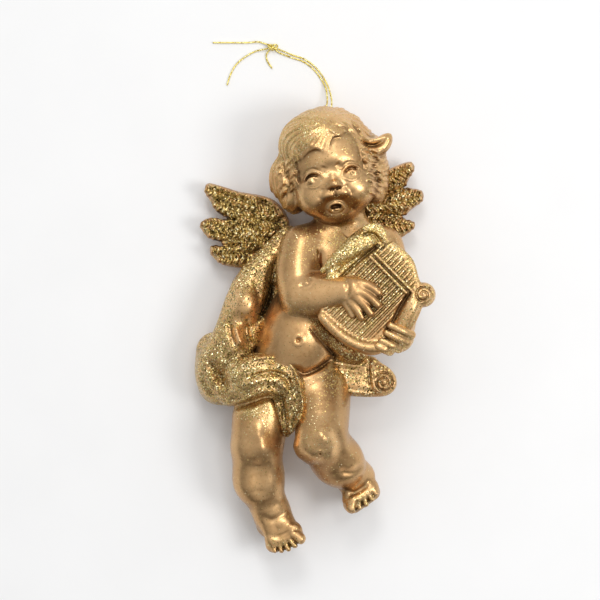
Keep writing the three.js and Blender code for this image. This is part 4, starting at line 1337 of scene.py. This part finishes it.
RIGHT_WING_OUTLINE = (
    (-10.1, 11.7), (-6.1, 10.6), (-1.3, 9.2), (4.6, 8.2), (8.1, 6.8), (10.8, 3.9), (12.3, 0.4), (11, -2.8),
    (7.3, -6), (4.6, -7.6), (2.7, -10.1), (0.6, -11.8), (-2.6, -11.7), (-6.1, -10.9), (-8.8, -9),
    (-9.9, -6.8), (-9.2, -5.4), (-7.4, -5.2), (-6.2, -4.9), (-8, -4.4), (-10.7, -3.1), (-12.4, -0.6),
    (-11.7, 1.2), (-9.3, 2.1), (-7, 1.9), (-5.6, 1.9), (-7, 2.8), (-8.2, 3.9), (-10.1, 7.1), (-11.2, 9.2),
)
RIGHT_WING_FEATHERS = (
    ((-1.2, 6.6), (-11.2, 10), 4.6, 0.5), ((-0.2, 3.2), (-9.4, 6.2), 4.4, 0.3),
    ((-2, 0.8), (-12.2, 0.6), 4.4, 0.5), ((-1.4, -2.6), (-11, -2.4), 3.9, 0.2),
    ((-0.6, -5.6), (-9.8, -6.6), 4, 0.4), ((1.2, -8.6), (-8, -9.2), 4.2, 0.2),
    ((4.6, 5.2), (-3.6, 7), 4.4, 0.9), ((5, 1.6), (-3.8, 2.6), 4.6, 0.8),
    ((4.6, -2), (-3.8, -1.4), 4.6, 0.8), ((4.2, -5.4), (-3.6, -5), 4.4, 0.7),
    ((9.6, 2.4), (2.4, 4.2), 5, 1.1), ((9.4, -1.4), (2, -0.8), 5, 1), ((6.6, -4.6), (1, -4.4), 4, 0.9),
)
RIGHT_WING_EDGE = (
    (0.8, 0.9, (-9.6, 10.9), (-5.8, 9.9), (-1.2, 8.5), (4.4, 7.5), (8, 6), (10.4, 3.2), (11.6, 0.2)),
    (0.45, -1.5, (-7.2, 2), (-4.6, 1.8), (-2, 1.6)), (0.45, -1.5, (-8, -5.3), (-5.2, -5.5), (-2.2, -5.2)),
)
LEFT_WING_OUTLINE = (
    (-1.8, 7.8), (-0.5, 9.2), (3.5, 10.8), (5.4, 11.2), (6.9, 9.7), (5.7, 7), (4.6, 4.6), (5.4, 4),
    (7.6, 3.7), (9.2, 2.5), (8.9, 0.3), (6.2, -1.9), (4, -3.9), (4.6, -4.5), (6.2, -5), (7, -6.4),
    (5.4, -8.2), (1.7, -10.6), (0.1, -9.6), (-1.8, -8.6), (-5.5, -7.4), (-8.6, -6), (-8.6, 0), (-5.6, 5),
)
LEFT_WING_FEATHERS = (
    ((-4.2, 4.2), (6.6, 9.6), 5, 0.4), ((-4.4, -1.2), (8.9, 1.6), 5.6, 0.5),
    ((-5, -6), (6.8, -6.4), 4.6, 0.4), ((-4.6, 1.4), (4.8, 5), 4.2, 0.2), ((-5, -4), (4.6, -3), 3.8, 0.1),
    ((-7, 2), (-0.4, 5.4), 4.2, 0.9), ((-7.8, -1.6), (0.2, -0.2), 4.8, 0.9),
    ((-7.8, -5), (-0.4, -5.2), 4.4, 0.8),
)
LEFT_WING_EDGE = (
    (0.7, 0.8, (-2.4, 7.4), (-0.2, 8.5), (3.6, 10.1), (5.6, 10.3)),
    (0.4, -1.2, (4.8, 4.6), (2, 3.2), (-1.6, 2.2)), (0.4, -1.2, (4.2, -4), (1.4, -3.6), (-2.4, -3.4)),
    (0.5, 0.5, (5.2, 3.4), (7.6, 3.1), (8.6, 2)),
)


def make_right_wing():
    clay, at, inside = make_wing("right_wing", RIGHT_WING_OUTLINE, RIGHT_WING_FEATHERS, 1.7, RIGHT_WING_EDGE)

    def dusting(x, y, z, normals):
        root = ramp(x, 4, 8) * ramp(y, 0, 3)
        rim = ramp(inside(x, y), 0.3, 1.4 + 1.2 * root)
        return (0.12 + 0.74 * rim) * ramp(normals[:, 2], -0.2, 0.3)

    def painted_shade(x, y, z):
        # painted shade along the wing's rounded rim
        return 0.5 * (1 - ramp(inside(x, y), 0.2, 1))

    cast("wing_right", "right_wing", clay, at, "feathers", dusting, painted_shade)


def make_left_wing():
    clay, at, inside = make_wing("left_wing", LEFT_WING_OUTLINE, LEFT_WING_FEATHERS, 1.6, LEFT_WING_EDGE)

    def dusting(x, y, z, normals):
        return (0.08 + 0.62 * ramp(inside(x, y), 0.3, 1.6)) * ramp(normals[:, 2], -0.2, 0.3)

    def painted_shade(x, y, z):
        # painted shade along the wing's rounded rim
        return 0.5 * (1 - ramp(inside(x, y), 0.2, 1))

    cast("wing_left", "left_wing", clay, at, "feathers", dusting, painted_shade)


# -------------------- the drape
CLOTH_THICKNESS = 0.7
CLOTH_OVERLAP = 1.2  # how deep the cloth is set into the body
LOINCLOTH = (
    (9, -14), (14.2, -12.8), (14.9, -17), (14.3, -23), (12.2, -26.6), (10.5, -29.2), (9, -28.4),
    (7.8, -25.6), (7, -22.4), (6.6, -18.4),
)
UNDER_HEM = (
    (-5.8, -22.4), (-3.4, -20.8), (-0.1, -19.6), (2.4, -18.2), (4.4, -17.5), (5.8, -17.7), (6.6, -19.4),
    (7.2, -22.6), (8.6, -28), (6, -36), (-6, -34),
)


def make_drape():
    at = place_of("drape")
    clay = block_for("drape", step=0.34, spare=0.8)
    # down the back of the arm to the hip
    clay.rope(at, [(10.4, 24.6, 8.8, 3), (5.6, 17.2, 9.8, 4.9), (0.4, 9.6, 10.8, 5.8),
                   (-3.2, -2.4, 11.6, 6.6), (-6.6, -8.6, 10, 6.8)], 1)
    clay.rope(at, [(8.4, 20, 8, 2.6), (7, 12.4, 8.6, 3), (6.6, 6.4, 9.2, 3.2), (4, 1.2, 10.4, 3.3),
                   (1, -3.2, 11.4, 3.2)], 1.2)
    clay.add([egg(at(-0.9, 6.2, 14.8), (7.4, 9.6, 9.6), -20), egg(at(-3.6, -3.6, 14.6), (6, 9, 8.6), -10)],
             1.4)
    # the bundle on the hip
    clay.rope(at, [(-9.4, -6.4, 5.6, 5.2), (-9.6, -12, 5, 5.3), (-8.8, -15.6, 5, 5.2)], 1.4)
    clay.add([egg(at(-8.2, -12.6, 8.6), (12.6, 16.6, 14.6), 8), egg(at(-3, -15.4, 11.6), (15, 12, 14))], 1.6)
    # over the lap, and down between the thighs
    clay.add([egg(at(3.4, -13.4, 16.4), (20.8, 14.6, 14.4), -8),
              egg(at(8.6, -13.4, 18.2), (10.4, 11.6, 10.4))], 1.4)
    clay.rope(at, [(11.6, -14.8, 19.6, 2.9), (12.6, -19.6, 18, 2.5), (10.8, -26.6, 14.6, 1.6)], 1)
    loincloth = clay.like()
    knead_right_leg(loincloth)
    knead_left_leg(loincloth)
    loincloth.rope(at, [(11.6, -14, 18.4, 3.2), (11, -20.4, 17.4, 3), (10.2, -27.6, 15, 2)], 2.6)
    loincloth.field -= CLOTH_THICKNESS
    loincloth.trim(closed_line([at(*p) for p in LOINCLOTH], 3), 0.8)
    clay.field = smooth_min(clay.field, loincloth.field, 0.8)
    under_hem = closed_line([at(*p) for p in UNDER_HEM], 3)
    clay.carve([slab(under_hem, -2, 40, 0.2)], 0.4)
    clay.strokes(at, (
        (0.9, -1.8, (7.6, 19), (5.9, 13.7), (5.3, 8.7), (3.2, 3.8), (0.3, -0.6)),
        (0.9, -0.6, (2.6, 15.6), (1.8, 11.4), (2.6, 7), (2, 3.2)),
        (0.85, 1.4, (-3.8, 1.2), (-3, -2), (-1.7, -5.2)),
        (0.8, -0.9, (-5.2, 2.4), (-4.8, -1.4), (-3.6, -5.4)),
        (0.9, -1.7, (-1, 1.8), (-0.6, -2), (0.6, -5)),
        (0.8, -0.6, (-4.4, -9.6), (-1, -7.4), (2.6, -6.5), (7, -6.6)),  # above the brim of the lap
        (0.6, 1, (-3.2, -10.6), (2.4, -7.9), (7.8, -7.9), (11.4, -10), (13.2, -14.4), (13.4, -18.4)),
        (0.7, -1.1, (-4, -14.6), (2.6, -12.3), (7.2, -11.9), (10.2, -13.6), (11.6, -17.4)),
        (0.7, 0.4, (-3.6, -16.4), (2.2, -14.2), (6.6, -13.9), (9.2, -15.4), (10.4, -18.6)),
        (0.6, 1.1, (-7.4, -20.8), (-3, -19.6), (0.4, -18.2), (3.2, -16.9), (5.8, -16.7), (8, -18.8)),
        (1.3, -1.5, (-10.6, -8.6), (-9.3, -11.6), (-7.4, -14.2), (-6.8, -17.6)),
        (1, -0.6, (-12.6, -11.4), (-11.6, -15), (-9.4, -18.6)),
        (0.7, -1, (6.6, -17.8), (8.6, -18.8), (9.2, -22), (9.4, -25.6)),
        (0.35, 0.45, (11.2, -22.4), (10.9, -25), (10.3, -28.4)),
        (0.4, 0.5, (13.2, -15.2), (14.2, -19), (13.6, -23), (12, -25.8)),
    ), above=7, fade=3)
    body = field_of(clay, knead_trunk, knead_right_leg, knead_left_leg)
    clay.field = np.maximum(clay.field, -body - CLOTH_OVERLAP)
    clay.flatten()

    def dusting(x, y, z, normals):
        on_hip = np.exp(-((x + 3) ** 2 / 4 + (y + 2.4) ** 2 / 9))
        at_elbow = np.exp(-((x + 0.6) ** 2 + (y - 5.6) ** 2) / 20)
        bare = 1.4 * on_hip + 1.4 * at_elbow
        return np.clip(0.66 - 0.45 * bare, 0.05, 1) * ramp(normals[:, 2], -0.5, 0.1)

    def painted_shade(x, y, z):
        # painted shade in the hollow on the hip bundle and in the crease along the arm
        hollow = np.exp(-(((x + 8.4) / 2.6) ** 2 + ((y + 13) / 4.6) ** 2))
        groove = np.exp(-(((x - 4.6 + 0.12 * (y - 9)) / 1.6) ** 2 + ((y - 7) / 7) ** 2))
        return 0.8 * np.clip(hollow + groove, 0, 1)

    cast("drape_cloth", "drape", clay, at, "cloth", dusting, painted_shade)


TAIL_OUTLINE = (
    (-9.4, 6), (-5.6, 6), (-2.6, 5.6), (3.4, 5.2), (6, 3.4), (8.6, 1.6), (10, -0.8), (9.8, -3.4), (7.4, -5.4),
    (3.4, -5.8), (-0.8, -5.6), (-4.6, -4.8), (-9.4, -2),
)


def make_tail():
    at = place_of("drape_tail")
    clay = block_for("drape_tail", step=0.24, spare=0.8)
    outline = closed_line([at(*p) for p in TAIL_OUTLINE])[:, :2]
    clay.add([slab(outline, 9.2, lambda x, y, inside: 14.6 + 0.9 * ramp(inside, 0, 3), 1)])
    clay.add([egg(at(6.6, -1.9, 13.8), (6.6, 6.6, 5.6)), egg(at(-1.6, -2.6, 13.6), (13, 5.4, 4.6), -4)], 0.7)
    spiral = []
    for t in np.linspace(0, 4.2 * math.pi, 30):
        radius = 2.9 * (1 - t / (4.7 * math.pi))
        spiral.append(at(6.6 + radius * math.cos(2.6 - t), -1.9 + radius * math.sin(2.6 - t)))
    clay.stroke(spiral, 0.33, -0.6, above=11, ends=0.08)
    clay.strokes(at, (
        (0.5, 0.5, (-8.8, -1.2), (-4.4, -3.9), (1, -4.8), (5, -4.9)),
        (0.5, 0.6, (3.3, 4.2), (3.5, 0.6), (3.9, -2.6), (5.6, -5)),
        (0.45, -0.6, (2.6, 3.6), (2.7, 0.4), (3.1, -3)),
        (0.5, 0.4, (-9, 4.9), (-4.4, 4.7), (2.4, 4.2)),
        (0.9, -0.4, (-8.6, 2.4), (-3.4, 1.6), (1.6, 1)),
    ), above=11)

    def dusting(x, y, z, normals):
        return (0.5 - 0.2 * ramp(x, 2, 5)) * ramp(normals[:, 2], -0.4, 0.2)

    cast("drape_end", "drape_tail", clay, at, "cloth", dusting)


make_body()
make_right_arm()
make_left_arm()
make_head()
make_lyre()
make_right_wing()
make_left_wing()
make_drape()
make_tail()

eye = frame["nodes"]["hanging_eye"]
eye.data.materials.clear()
eye.data.materials.append(MATERIALS["wire"])
